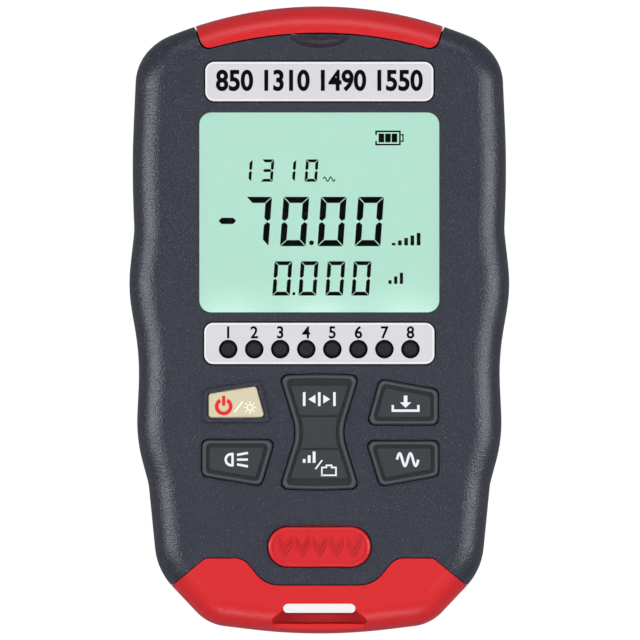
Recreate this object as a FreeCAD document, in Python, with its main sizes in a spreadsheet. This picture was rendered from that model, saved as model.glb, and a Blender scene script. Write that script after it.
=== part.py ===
"""Hand-held optical power meter with a detachable network-cable remote unit.

The meter lies on its back: +Z points out of the display, +Y to the fibre and network ports,
and the origin is the middle of the back at the level that it rests on.
"""

import FreeCAD, Part
import math
import os
import re
import Sketcher

# ---------------------------------------------------------------------------------------------
# Driving dimensions, in millimetres and degrees
# ---------------------------------------------------------------------------------------------

SIZES = {
    # outline of the whole instrument, seen from the front
    "crown_y": 60.5, "crown_curve": 76.0, "foot_y": -60.5, "foot_curve": 110.0,
    "shoulder_half": 31.0, "shoulder_y": 54.0, "shoulder_bend": 11.3,
    "corner_half": 35.3, "corner_y": 49.5, "corner_bend": 9.4,
    "upper_half": 36.2, "upper_y": 29.5, "upper_bend": 180.0,
    "neck_half": 35.7, "neck_y": 17.2, "neck_bend": 12.9,
    "grip_half": 36.95, "grip_y": 6.2, "grip_bend": 30.0,
    "waist_half": 34.6, "waist_y": -7.4, "waist_bend": 50.0,
    "lower_half": 35.35, "lower_y": -22.8, "lower_bend": 29.0,
    "taper_half": 32.95, "taper_y": -31.6, "taper_bend": 11.0,
    "foot_half": 31.3, "foot_corner_y": -48.3, "foot_bend": 12.5,
    "tail_half": 21.5, "tail_y": -58.7, "tail_bend": 8.9,
    # depth of the instrument
    "case_depth": 29.0, "split_height": 13.5, "front_round": 5.2, "back_round": 4.0,
    "wall": 2.0, "front_wall": 2.2, "seam_groove": 0.3, "seam_wide": 0.35,
    "chamber_top": 50.6, "chamber_foot": -37.6,
    # running and fitting clearances
    "overrun": 0.1, "key_gap": 0.22, "cover_gap": 0.25, "remote_gap": 0.2, "inlay_gap": 0.12,
    "pin_gap": 0.05, "slide_gap": 0.2, "seat_gap": 0.05,
    # display
    "window_width": 45.9, "window_length": 38.2, "window_y": 20.7, "window_corner": 2.2,
    "window_flange": 1.3, "window_flange_thick": 0.6,
    "glass_width": 47.6, "glass_length": 40.0, "glass_thick": 1.7,
    "light_width": 46.0, "light_length": 34.6, "strip_thick": 2.0,
    # silver plates
    "title_width": 43.8, "title_length": 7.55, "title_y": 45.8,
    "lamps_width": 44.2, "lamps_length": 7.9, "lamps_y": -4.5, "plate_corner": 1.75,
    "plate_thick": 0.45, "plate_recess": 0.5,
    "lamp_count": 8, "lamp_pitch": 5.0, "lamp_hole": 3.6, "lamp_size": 3.0, "lamp_row_y": -5.6,
    # keys
    "key_proud": 0.7, "key_corner": 1.2, "key_edge": 0.32, "key_flange": 1.0,
    "key_flange_thick": 1.4, "key_rim": 0.9, "collar_wide": 1.15, "key_groove": 0.5,
    "panel_sink": 0.12, "waist_sink": 0.26, "panel_edge": 0.18, "panel_gap": 0.45,
    "rocker_top": -10.65, "rocker_foot": -32.35, "rocker_half": 7.55, "rocker_waist": 4.2,
    "rocker_mid": -21.6, "rocker_drop": 4.4, "rocker_waist_bend": 9.0, "rocker_bow": 0.25,
    "rocker_end_bend": 80.0, "rocker_lip_half": 4.4, "rocker_panel_gap": 3.2,
    "cradle_half": 2.4, "cradle_drop": 2.2,
    "panel_wide_half": 5.65, "panel_narrow_half": 3.8, "panel_corner": 0.5,
    "waist_plate_half": 3.5, "waist_plate_bend": 7.0,
    "trunnion_size": 2.0, "trunnion_reach": 6.9, "cradle_thick": 1.1,
    # rubber keypad under the keys
    "mat_half": 22.0, "mat_margin": 1.0, "mat_thick": 0.7, "dome_size": 5.4, "dome_x": 16.4,
    "dome_y": -16.6, "dome_low_x": 16.6, "dome_low_y": -26.8, "dome_inset": 3.6,
    # release button of the remote unit
    "release_width": 19.7, "release_length": 7.7, "release_y": -43.55, "release_proud": 1.0,
    "release_travel": 1.4, "release_dish": 0.25, "release_rim": 0.8, "release_well": 1.3,
    "release_flange": 0.9, "release_flange_thick": 1.5, "release_edge": 0.55,
    "stem_half": 1.7, "stem_gap": 0.3, "spring_size": 3.4,
    "spring_wire": 0.45, "spring_turns": 4, "spring_x": 6.2,
    # circuit board
    "board_top": 21.2, "board_thick": 1.6, "board_half": 30.0, "board_neck_half": 25.4,
    "board_crown": 48.4, "board_neck_y": 38.0, "board_waist_y": -28.6, "board_foot": -34.4,
    "board_foot_half": 22.6, "post_size": 5.0, "post_x": 27.4, "post_y": 33.0, "post_low_y": -6.0,
    # housing screws
    "boss_size": 6.4, "boss_x": 29.4, "boss_y": 43.6, "boss_low_x": 26.6, "boss_low_y": -33.9,
    "screw_shaft": 2.4, "screw_head": 4.6, "screw_head_thick": 1.8, "screw_sink": 2.6,
    "screw_length": 18.0, "small_screw_shaft": 1.8, "small_screw_head": 3.6,
    "board_screw_head_thick": 1.1, "board_screw_bite": 3.0, "remote_screw_head_thick": 1.2,
    "remote_screw_length": 15.5, "thread_gap": 0.4,
    # port cover and its hinge
    "cover_corner_half": 22.25, "cover_corner_y": 51.9, "cover_tip_half": 23.8,
    "cover_tip_y": 56.5, "cover_arc": 76.0, "cover_arc_y": 55.2, "cover_corner": 1.8, "cover_wall": 1.8,
    "hinge_y": 57.0, "hinge_z": 3.2, "hinge_round": 3.0, "knuckle_half": 6.0,
    "hinge_pin": 1.8, "hinge_pin_half": 11.0,
    "brow_inset": 0.4, "brow_rise": 0.95, "web_inset": 0.45, "web_rise": 2.4,
    "chin_reach": 20.0, "knuckle_room": 0.8,
    "notch_half": 7.0, "notch_length": 3.4, "notch_deep": 3.2,
    # ports under the cover
    "panel_half": 21.0, "panel_low": 3.8, "panel_headroom": 3.8, "panel_face_y": 52.0,
    "panel_flange": 1.8, "panel_thick": 1.6, "panel_lip_low": 1.5, "panel_lip_high": 1.4,
    "optic_x": -6.5, "port_z": 13.6, "optic_thread": 8.0, "optic_proud": 5.2,
    "optic_flange": 11.0, "optic_bore": 2.52, "optic_bore_deep": 9.0, "diode_size": 5.4,
    "optic_flange_thick": 1.5, "optic_tail": 1.6, "optic_tail_long": 2.0, "optic_mouth": 2.6,
    "optic_mouth_deep": 0.8, "key_slot_half": 1.1, "key_slot_low": 2.6, "key_slot_long": 2.4,
    "diode_can": 3.65, "diode_base": 1.1,
    "torch_x": -16.6, "torch_size": 5.0, "torch_flange": 0.9, "torch_flange_thick": 1.1,
    "torch_proud": 1.6,
    # network sockets
    "jack_x": 11.6, "jack_width": 15.9, "jack_height": 13.0, "jack_deep": 18.0,
    "jack_mouth": 11.8, "jack_mouth_height": 7.0, "jack_mouth_deep": 13.0,
    "jack_latch": 6.2, "jack_latch_height": 2.0, "contact_pitch": 1.02, "contact_wide": 0.4,
    "jack_sole": 1.2,
    # battery bay
    "cell_size": 10.5, "cell_length": 44.5, "cell_pitch": 10.9, "cell_z": 7.5,
    "bay_half": 16.6, "bay_foot": -25.0, "bay_top": 24.4, "bay_roof": 13.1,
    "contact_thick": 0.5, "bay_wall": 1.2,
    "door_half": 17.6, "door_top": 30.0, "door_foot": -28.2, "door_thick": 1.1, "door_gap": 0.2,
    "hook_x": 10.0, "hook_width": 4.0, "hook_back": 1.0, "hook_ahead": 1.4, "hook_play": 0.2,
    "hook_tip_play": 0.4, "ridge_half": 5.5, "ridge_inset": 3.0, "ridge_pitch": 1.8, "ridge_wide": 0.8,
    "ridge_deep": 0.35, "rib_x": 5.1, "rib_thick": 0.7, "rib_inset": 3.0, "rib_rise": 0.6,
    # remote unit
    "ramp_half": 21.9, "ramp_tip_half": 36.85, "ramp_tip_y": -58.15, "horn_y": -45.8,
    "horn_half": 14.6, "horn_root_half": 10.4, "throat_y": -51.0,
    "rail_x": 6.5, "rail_wide": 1.5,
    "sled_half": 11.6, "sled_low": 4.6, "sled_high": 19.2, "sled_end": -31.6,
    "remote_jack_low": 5.4, "remote_room_y": -51.7, "groove_half": 3.4,
    "slot_half": 7.0, "slot_high_y": -54.5, "slot_low_y": -56.95, "scoop_half": 5.2,
    "scoop_mid_half": 8.9, "scoop_mid_y": -57.2, "scoop_foot_half": 10.3, "scoop_deep": 2.2,
    "scoop_well_y": -58.5, "scoop_well_deep": 8.5, "strap_bay_half": 9.5, "strap_bay_high": 16.0,
    "scoop_far_y": -70.0, "scoop_flare": 0.6, "remote_screw_x": 17.4, "remote_screw_y": -51.0,
}

# the side keys' corners: the two far from the middle share one X, the two near it lean
CORNER_NAMES = ("far_x", "far_top", "far_foot", "near_foot_x", "near_foot", "near_top_x", "near_top")
KEY_CORNERS = {
    "power": (-22.4, -13.2, -19.9, -9.0, -19.8, -11.3, -11.4),
    "save": (22.75, -13.4, -20.1, 9.2, -20.1, 11.65, -11.4),
    "torch": (-22.5, -23.0, -29.9, -11.2, -31.8, -8.6, -23.0),
    "wavelength": (22.85, -23.2, -29.9, 11.7, -31.9, 9.0, -23.2),
}
for key, corners in KEY_CORNERS.items():
    SIZES.update(("%s_%s" % (key, name), place) for name, place in zip(CORNER_NAMES, corners))

doc = FreeCAD.newDocument("optical_power_meter")
sheet = doc.addObject("Spreadsheet::Sheet", "Sizes")
for row, (alias, amount) in enumerate(SIZES.items(), start=1):
    sheet.set("A%d" % row, alias.replace("_", " "))
    sheet.set("B%d" % row, str(amount))
    sheet.setAlias("B%d" % row, alias)
doc.recompute()


def bound(text):
    """An expression in which each size's name points at its cell of the sheet."""
    return re.sub(r"[a-z][a-z_]*", lambda word: "Sizes." + word.group(0)
                  if word.group(0) in SIZES else word.group(0), str(text))


def size(text):
    """The number that such an expression stands for."""
    return float(sheet.evalExpression(bound(text)))


# ---------------------------------------------------------------------------------------------
# Helpers: sketches
# ---------------------------------------------------------------------------------------------

def vector(x, y, z=0.0):
    return FreeCAD.Vector(x, y, z)


def origin_plane(body, role):
    return [part for part in body.Origin.OriginFeatures if part.Role == role][0]


def new_body(label):
    body = doc.addObject("PartDesign::Body", label)
    body.Label = label
    return body


def new_sketch(body, name, offset="0", role="XY_Plane"):
    """A sketch on one of the body's origin planes, moved along the plane's normal."""
    sketch = body.newObject("Sketcher::SketchObject", name)
    sketch.AttachmentSupport = [(origin_plane(body, role), "")]
    sketch.MapMode = "FlatFace"
    sketch.setExpression("AttachmentOffset.Base.z", bound(offset))
    return sketch


def dimension(sketch, kind, places, text):
    index = sketch.addConstraint(Sketcher.Constraint(kind, *places, size(text)))
    sketch.setExpression("Constraints[%d]" % index, bound(text))


def draw_circle(sketch, x, y, diameter):
    """A circle whose middle and diameter follow the sheet."""
    shape = Part.Circle(vector(size(x), size(y)), vector(0, 0, 1), size(diameter) / 2)
    index = sketch.addGeometry(shape, False)
    dimension(sketch, "DistanceX", (-1, 1, index, 3), x)
    dimension(sketch, "DistanceY", (-1, 1, index, 3), y)
    dimension(sketch, "Radius", (index,), "(%s) / 2" % diameter)


def draw_polygon(sketch, corners):
    """A closed run of straight lines whose corners follow the sheet."""
    points = [vector(size(x), size(y)) for x, y in corners]
    count = len(points)
    lines = [sketch.addGeometry(Part.LineSegment(points[i], points[(i + 1) % count]), False)
             for i in range(count)]
    for i in range(count):
        sketch.addConstraint(Sketcher.Constraint("Coincident", lines[i - 1], 2, lines[i], 1))
    for i, (x, y) in enumerate(corners):
        dimension(sketch, "DistanceX", (-1, 1, lines[i], 1), x)
        dimension(sketch, "DistanceY", (-1, 1, lines[i], 1), y)


def draw_rectangle(sketch, left, right, low, high):
    draw_polygon(sketch, [(left, low), (right, low), (right, high), (left, high)])


def draw_rounded(sketch, corners):
    """A closed outline of lines and tangent arcs: each corner is (x, y, rounding)."""
    points = [vector(size(x), size(y)) for x, y, rounding in corners]
    count = len(points)
    ends = []
    for i, point in enumerate(points):
        back = (points[i - 1] - point).normalize()
        ahead = (points[(i + 1) % count] - point).normalize()
        half = back.getAngle(ahead) / 2
        radius = size(corners[i][2])
        inward = (back + ahead).normalize()
        centre = point + inward * (radius / math.sin(half))
        reach = radius / math.tan(half)
        ends.append((point + back * reach, centre - inward * radius, point + ahead * reach))
    for i in range(count):
        sketch.addGeometry(Part.Arc(*ends[i]), False)
        sketch.addGeometry(Part.LineSegment(ends[i][2], ends[(i + 1) % count][0]), False)


def rounded_box(width, length, y, rounding, gap="0"):
    """The corners of a rounded rectangle centred on the Y axis, grown by a gap."""
    half_x = "(%s) / 2 + %s" % (width, gap)
    half_y = "((%s) / 2 + %s)" % (length, gap)
    corner = "%s + %s" % (rounding, gap)
    return [("-(%s)" % half_x, "%s - %s" % (y, half_y), corner),
            (half_x, "%s - %s" % (y, half_y), corner),
            (half_x, "%s + %s" % (y, half_y), corner),
            ("-(%s)" % half_x, "%s + %s" % (y, half_y), corner)]


# ---------------------------------------------------------------------------------------------
# Helpers: features
# ---------------------------------------------------------------------------------------------

def pad(body, sketch, length, both_ways=False):
    feature = body.newObject("PartDesign::Pad", "Pad")
    feature.Profile = sketch
    feature.setExpression("Length", bound(length))
    feature.Midplane = both_ways
    return feature


def pocket(body, sketch, depth, upward=False, both_ways=False):
    """A cut from the sketch's plane: downward unless upward or both ways is asked for."""
    feature = body.newObject("PartDesign::Pocket", "Pocket")
    feature.Profile = sketch
    feature.setExpression("Length", bound(depth))
    feature.Reversed = upward
    feature.Midplane = both_ways
    return feature


def cut_outlines(body, name, outlines, top, depth):
    """One pocket with several rounded outlines, from one height down."""
    sketch = new_sketch(body, name, top)
    for corners in outlines:
        draw_rounded(sketch, corners)
    return pocket(body, sketch, depth)


def cut_boxes(body, name, boxes, top, depth):
    """One pocket of several (left, right, low, high) rectangles, from one height down."""
    sketch = new_sketch(body, name, top)
    for edges in boxes:
        draw_rectangle(sketch, *edges)
    return pocket(body, sketch, depth)


def cut_holes(body, name, places, diameter, top, depth):
    sketch = new_sketch(body, name, top)
    for x, y in places:
        draw_circle(sketch, x, y, diameter)
    return pocket(body, sketch, depth)


def add_boxes(body, name, boxes, bottom, top):
    sketch = new_sketch(body, name, bottom)
    for edges in boxes:
        draw_rectangle(sketch, *edges)
    return pad(body, sketch, "(%s) - (%s)" % (top, bottom))


def add_outline(body, name, corners, bottom, top):
    sketch = new_sketch(body, name, bottom)
    draw_rounded(sketch, corners)
    return pad(body, sketch, "(%s) - (%s)" % (top, bottom))


def add_posts(body, name, places, diameter, bottom, top):
    sketch = new_sketch(body, name, bottom)
    for x, y in places:
        draw_circle(sketch, x, y, diameter)
    return pad(body, sketch, "(%s) - (%s)" % (top, bottom))


def cut_along_y(body, name, edges, start, depth):
    """A rectangular pocket (left, right, low, high) that runs from one Y towards +Y."""
    sketch = new_sketch(body, name, "-(%s)" % start, "XZ_Plane")
    draw_rectangle(sketch, *edges)
    return pocket(body, sketch, depth)


def cut_across(body, name, y, z, diameter, length):
    """A round hole along X, centred on the middle plane."""
    sketch = new_sketch(body, name, "0", "YZ_Plane")
    draw_circle(sketch, y, z, diameter)
    return pocket(body, sketch, length, both_ways=True)


def round_edges(body, radius, chosen, kind="Fillet"):
    """Fillet or chamfer the edges of the body's last feature that the test picks."""
    doc.recompute()
    base = body.Tip
    names = ["Edge%d" % (number + 1) for number, edge in enumerate(base.Shape.Edges)
             if chosen(edge.BoundBox)]
    feature = body.newObject("PartDesign::" + kind, kind)
    feature.Base = (base, names)
    feature.setExpression("Radius" if kind == "Fillet" else "Size", bound(radius))
    return feature


def level(height):
    """Picks edges that lie flat at a height."""
    return lambda box: abs(box.ZMin - size(height)) < 1e-4 and abs(box.ZMax - size(height)) < 1e-4


def copies(label, solids):
    """One node of separate equal solids, such as a set of screws."""
    node = doc.addObject("Part::Feature", label)
    node.Label = label
    node.Shape = Part.makeCompound(solids)
    return node


# ---------------------------------------------------------------------------------------------
# Outlines that several pieces share
# ---------------------------------------------------------------------------------------------

def mirrored(right):
    """The corners of the right side and the same corners on the left."""
    return right + [("-(%s)" % x, y, rounding) for x, y, rounding in reversed(right)]


def apex(tip, radius, corner_x, corner_y, way):
    """Where the tangents of an end arc meet on the middle line, seen from a corner."""
    centre = size(tip) - way * size(radius)
    across = size(corner_x)
    along = way * (size(corner_y) - centre)
    beyond = max(1.0, math.hypot(across, along) / size(radius))
    lean = math.atan2(across, along) - math.acos(1 / beyond)
    return centre + way * size(radius) / math.cos(lean)


def case_outline(inset="0"):
    """The instrument seen from the front, moved inward by an inset."""
    def grown(radius):
        return "%s - %s" % (radius, inset)

    def hollow(radius):
        return "%s + %s" % (radius, inset)

    right = [
        ("foot_half - %s" % inset, "foot_corner_y + 0.3 * %s" % inset, grown("foot_bend")),
        ("taper_half - %s" % inset, "taper_y", hollow("taper_bend")),
        ("lower_half - %s" % inset, "lower_y", grown("lower_bend")),
        ("waist_half - %s" % inset, "waist_y", hollow("waist_bend")),
        ("grip_half - %s" % inset, "grip_y", grown("grip_bend")),
        ("neck_half - %s" % inset, "neck_y", hollow("neck_bend")),
        ("upper_half - %s" % inset, "upper_y", grown("upper_bend")),
        ("corner_half - %s" % inset, "corner_y - 0.3 * %s" % inset, grown("corner_bend")),
        ("shoulder_half - 0.6 * %s" % inset, "shoulder_y - 0.9 * %s" % inset, grown("shoulder_bend")),
    ]
    top = apex("crown_y", "crown_curve", "shoulder_half", "shoulder_y", 1) - size(inset)
    foot = apex("foot_y", "foot_curve", "tail_half", "tail_y", -1) + size(inset)
    tail = ("tail_half - 0.5 * %s" % inset, "tail_y + 0.9 * %s" % inset, grown("tail_bend"))
    whole = mirrored([tail] + right)
    middle = len(whole) // 2
    crown_bend = grown("crown_curve - 0.4")
    return ([("0", "%.6f" % foot, grown("foot_curve - 0.4"))] + whole[:middle]
            + [("0", "%.6f" % top, crown_bend)] + whole[middle:])


def cover_zone(gap="0"):
    """The part of the outline that the port cover takes, grown by a gap."""
    lean = "(cover_tip_half - cover_corner_half) / (cover_tip_y - cover_corner_y)"
    far_y = "crown_y + 10"
    low_half = "cover_corner_half + %s" % gap
    low_y = "cover_corner_y - %s" % gap
    far_half = "%s + (%s - cover_corner_y) * %s" % (low_half, far_y, lean)
    top = apex("cover_arc_y - %s" % gap, "cover_arc", low_half, low_y, 1)
    return [("-(%s)" % far_half, far_y, "1"), ("-(%s)" % low_half, low_y, "cover_corner"),
            ("0", "%.6f" % top, "cover_arc - 0.5"), (low_half, low_y, "cover_corner"),
            (far_half, far_y, "1")]


def remote_zone(gap="0"):
    """The part of the outline that the remote unit takes, grown by a gap."""
    right = [("ramp_tip_half", "ramp_tip_y + 1.3 * %s" % gap, "1"),
             ("ramp_half", "horn_y + %s" % gap, "1.4"),
             ("horn_half - 0.5 * %s" % gap, "horn_y + %s" % gap, "3.3"),
             ("horn_root_half - 0.5 * %s" % gap, "throat_y + %s" % gap, "5.6")]
    return [("-ramp_tip_half", "-80", "1"), ("ramp_tip_half", "-80", "1")] + mirrored(right)


def key_outlines():
    """The four side keys: corners of each, anticlockwise."""
    outlines = {}
    for key, corners in KEY_CORNERS.items():
        outline = [("%s_%s" % (key, x), "%s_%s" % (key, y)) for x, y in (
            ("far_x", "far_top"), ("far_x", "far_foot"), ("near_foot_x", "near_foot"),
            ("near_top_x", "near_top"))]
        outlines[key + "_key"] = outline if corners[0] < 0 else outline[::-1]
    return outlines


# ---------------------------------------------------------------------------------------------
# Housing: front shell, rear shell and what is let into them
# ---------------------------------------------------------------------------------------------

def both_sides(places):
    return places + [("-%s" % x, y) for x, y in places]


BOSSES = both_sides([("boss_x", "boss_y"), ("boss_low_x", "boss_low_y")])
POSTS = both_sides([("post_x", "post_y"), ("post_x", "post_low_y")])
LAMPS = [("(%d - (lamp_count - 1) / 2) * lamp_pitch" % i, "lamp_row_y")
         for i in range(int(SIZES["lamp_count"]))]
CEILING = "(case_depth - front_wall)"
PANEL_HIGH = "(case_depth - panel_headroom)"
ROCKER_AXIS = "(case_depth - rocker_drop)"
# straight runs in one turn of a coil spring, and flats round its wire
COIL_SIDES, WIRE_SIDES = 10, 6


def moved_out(corners, gap):
    """An anticlockwise outline moved outward by a gap, with its roundings changed to suit."""
    points = [vector(size(x), size(y)) for x, y, rounding in corners]
    shift = size(gap)
    outline = []
    for i, (point, corner) in enumerate(zip(points, corners)):
        back = (point - points[i - 1]).normalize()
        ahead = (points[(i + 1) % len(points)] - point).normalize()
        outward = vector(back.y, -back.x) + vector(ahead.y, -ahead.x)
        moved = point + outward * (shift / (1 + back.dot(ahead)))
        way = 0.5 if back.cross(ahead).z > 0 else -0.5
        outline.append(("%.6f" % moved.x, "%.6f" % moved.y,
                        "%s + (%.1f) * (%s)" % (corner[2], way, gap)))
    return outline


def rocker_outline(gap="0"):
    """The hourglass key, widest at its ends, with a smooth waist."""
    right = [("rocker_half", "rocker_foot", "key_corner"),
             ("rocker_waist", "rocker_mid", "rocker_waist_bend"),
             ("rocker_half", "rocker_top", "key_corner")]
    whole = mirrored(right)
    return moved_out([("0", "rocker_foot - rocker_bow", "rocker_end_bend")] + whole[:3]
                     + [("0", "rocker_top + rocker_bow", "rocker_end_bend")] + whole[3:], gap)


def key_outline(label, gap="0"):
    """A side key's outline moved outward by a gap."""
    return moved_out([(x, y, "key_corner") for x, y in KEYS[label]], gap)


KEYS = key_outlines()


def stadium(gap="0"):
    """The release button's outline: a slot shape grown by a gap."""
    return [(x, y, "release_length / 2 - 0.01 + %s" % gap) for x, y, corner in
            rounded_box("release_width", "release_length", "release_y", "0", gap)]


def trim_ends(body):
    """Takes the port cover's and the remote unit's share off a housing half."""
    cut_outlines(body, "CoverZone", [cover_zone("cover_gap")], "case_depth + 2", "case_depth + 4")
    cut_outlines(body, "RemoteZone", [remote_zone("remote_gap")], "case_depth + 2",
                 "case_depth + 4")


def clipped(corners):
    """An outline cut straight across at the chamber's two ends."""
    top, foot = size("chamber_top"), size("chamber_foot")
    kept = [corner for corner in corners if foot + 3 < size(corner[1]) < top - 3]
    right = [corner for corner in kept if size(corner[0]) > 0]
    left = [corner for corner in kept if size(corner[0]) < 0]
    top_half, foot_half = "corner_half - wall - 1.4", "taper_half - wall - 0.7"
    return ([("-(%s)" % foot_half, "chamber_foot", "2"), (foot_half, "chamber_foot", "2")] + right
            + [(top_half, "chamber_top", "3"), ("-(%s)" % top_half, "chamber_top", "3")] + left)


def chamber(body, low, high):
    """The hollow of a housing half: the case outline moved inward, squared off at its ends."""
    sketch = new_sketch(body, "Chamber", low)
    draw_rounded(sketch, clipped(case_outline("wall")))
    return pocket(body, sketch, "(%s) - (%s)" % (high, low), upward=True)


def cut_seam(body, top):
    """Half of the shallow groove that runs round the instrument where the shells meet."""
    cut_outlines(body, "SeamGroove", [case_outline("-3"), case_outline("seam_wide")], top,
                 "seam_groove")


def end_openings(body):
    """The port panel's window in the top end and the remote unit's bay in the bottom end."""
    cut_along_y(body, "PortWindow", ("-panel_half - inlay_gap", "panel_half + inlay_gap",
                "panel_low - inlay_gap", PANEL_HIGH + " + inlay_gap"), "chamber_top - 1",
                "crown_y - chamber_top")
    cut_along_y(body, "RemoteBay", ("-sled_half - slide_gap", "sled_half + slide_gap",
                "sled_low - slide_gap", "sled_high + slide_gap"), "foot_y",
                "sled_end + slide_gap - foot_y")


def make_front_shell():
    body = new_body("front_shell")
    add_outline(body, "Outline", case_outline(), "split_height", "case_depth")
    round_edges(body, "front_round", level("case_depth"))
    scoop = body.newObject("PartDesign::SubtractiveEllipsoid", "ThumbNotch")
    scoop.AttachmentSupport = [(origin_plane(body, "XY_Plane"), "")]
    scoop.MapMode = "FlatFace"
    for name, text in (("Radius1", "notch_deep"), ("Radius2", "notch_half"),
                       ("Radius3", "notch_length"), ("AttachmentOffset.Base.y", "cover_arc_y"),
                       ("AttachmentOffset.Base.z", "case_depth + notch_deep / 2")):
        scoop.setExpression(name, bound(text))
    cut_seam(body, "split_height + seam_groove")
    trim_ends(body)
    # a raised collar round the light key, which stands in it
    collar = "case_depth + key_proud - panel_sink"
    add_outline(body, "Collar", key_outline("power_key"), "case_depth - 0.2", collar)
    round_edges(body, "key_edge", level(collar), "Chamfer")
    chamber(body, "split_height", CEILING)
    holes = [key_outline(label, "key_gap") for label in KEYS if label != "power_key"] + [
        rocker_outline("key_gap"), stadium("key_gap"),
        rounded_box("window_width", "window_length", "window_y", "window_corner", "inlay_gap")]
    cut_outlines(body, "FrontHoles", holes, "case_depth", "front_wall")
    cut_outlines(body, "LightKeyHole", [key_outline("power_key", "key_gap - collar_wide")],
                 "case_depth + key_proud", "key_proud + front_wall")
    cut_outlines(body, "PlateRecesses", [
        rounded_box("title_width", "title_length", "title_y", "plate_corner", "inlay_gap"),
        rounded_box("lamps_width", "lamps_length", "lamps_y", "plate_corner", "inlay_gap")],
        "case_depth", "plate_recess")
    cut_holes(body, "LampHoles", LAMPS, "lamp_size + 3 * inlay_gap", "case_depth", "front_wall")
    # behind the release button's close hole: a wider well and a slot for its stem
    cut_outlines(body, "ReleaseWell", [stadium("release_well")], CEILING, CEILING + " - board_top")
    cut_boxes(body, "StemSlot", [("-groove_half", "groove_half", "release_y - 2",
              "release_y + 2")], "board_top", "board_top - split_height")
    # ribs that carry the rocking key's trunnions
    inner, outer = "trunnion_reach - cradle_thick", "trunnion_reach"
    low, high = "rocker_mid - cradle_half", "rocker_mid + cradle_half"
    add_boxes(body, "Cradles", [(inner, outer, low, high), ("-(%s)" % outer, "-(%s)" % inner,
              low, high)], ROCKER_AXIS + " - cradle_drop", CEILING)
    cut_across(body, "TrunnionBore", "rocker_mid", ROCKER_AXIS, "trunnion_size + 2 * pin_gap",
               "2 * trunnion_reach + 1")
    add_posts(body, "Bosses", BOSSES, "boss_size", "split_height", CEILING)
    add_posts(body, "Posts", POSTS, "post_size", "board_top", CEILING)
    cut_holes(body, "BossPilots", BOSSES, "screw_shaft", "screw_sink + screw_length + 1",
              "screw_sink + screw_length + 1 - split_height")
    cut_holes(body, "PostPilots", POSTS, "small_screw_shaft", "board_top + 3.4", "3.4")
    end_openings(body)
    return body


def make_rear_shell():
    body = new_body("rear_shell")
    add_outline(body, "Outline", case_outline(), "0", "split_height")
    round_edges(body, "back_round", level("0"))
    cut_seam(body, "split_height")
    # the chin under the port cover keeps a rounded nose about the hinge line
    cut_outlines(body, "CoverZone", [cover_zone("cover_gap")], "split_height + 1",
                 "split_height + 1 - hinge_z - hinge_round")
    nose = new_sketch(body, "Nose", "0", "YZ_Plane")
    draw_nose(nose, "0")
    pocket(body, nose, "2 * cover_tip_half + 2 * cover_gap", both_ways=True)
    cut_outlines(body, "RemoteZone", [remote_zone("remote_gap")], "split_height + 1",
                 "split_height + 4")
    chamber(body, "wall", "split_height")
    cut_boxes(body, "KnuckleRoom", [("-knuckle_half - cover_gap", "knuckle_half + cover_gap",
              "hinge_y - hinge_round - knuckle_room", "crown_y + 5")], "split_height", "split_height + 1")
    cut_across(body, "HingeBore", "hinge_y", "hinge_z", "hinge_pin + 0.02",
               "2 * hinge_pin_half + 0.4")
    # battery tray: a box on the back wall, open to the back
    tray = ("-bay_half - bay_wall", "bay_half + bay_wall", "bay_foot - bay_wall",
            "bay_top + bay_wall")
    add_boxes(body, "Tray", [tray], "wall - overrun", "bay_roof + bay_wall")
    cut_boxes(body, "TrayRoom", [("-bay_half", "bay_half", "bay_foot", "bay_top")], "bay_roof",
              "bay_roof + 1")
    cut_boxes(body, "DoorRebate", [("-door_half - door_gap", "door_half + door_gap",
              "door_foot - door_gap", "door_top + door_gap")], "door_thick + seat_gap",
              "door_thick + 1")
    hooks = [("%shook_x - hook_width / 2 - door_gap" % side, "%shook_x + hook_width / 2 + door_gap"
              % side, "door_top - hook_back - hook_play",
              "door_top + hook_ahead + hook_tip_play") for side in ("", "-")]
    cut_boxes(body, "HookSlots", hooks, "wall + 0.2", "wall + 0.2 - door_thick + 0.6")
    add_posts(body, "Bosses", BOSSES, "boss_size", "wall - overrun", "split_height")
    cut_holes(body, "BossHoles", BOSSES, "screw_shaft + thread_gap", "split_height", "split_height + 1")
    cut_holes(body, "BossSinks", BOSSES, "screw_head + thread_gap", "screw_sink", "screw_sink + 1")
    # rails under the remote unit's sled
    add_boxes(body, "Rails", [("-rail_x - rail_wide", "-rail_x", "chamber_foot - 1", "sled_end"),
              ("rail_x", "rail_x + rail_wide", "chamber_foot - 1", "sled_end")],
              "wall - overrun", "sled_low - slide_gap")
    end_openings(body)
    return body


def draw_nose(sketch, gap):
    """What lies outside the hinge's rounding, as a closed profile in Y and Z."""
    y, z, radius = size("hinge_y"), size("hinge_z"), size("hinge_round") + size(gap)
    top, outer, foot = z + radius, size("crown_y") + 4, -2.0
    sketch.addGeometry(Part.Arc(vector(y, top), vector(y + radius, z), vector(y, z - radius)), False)
    for a, b in (((y, z - radius), (y, foot)), ((y, foot), (outer, foot)),
                 ((outer, foot), (outer, top)), ((outer, top), (y, top))):
        sketch.addGeometry(Part.LineSegment(vector(*a), vector(*b)), False)


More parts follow.
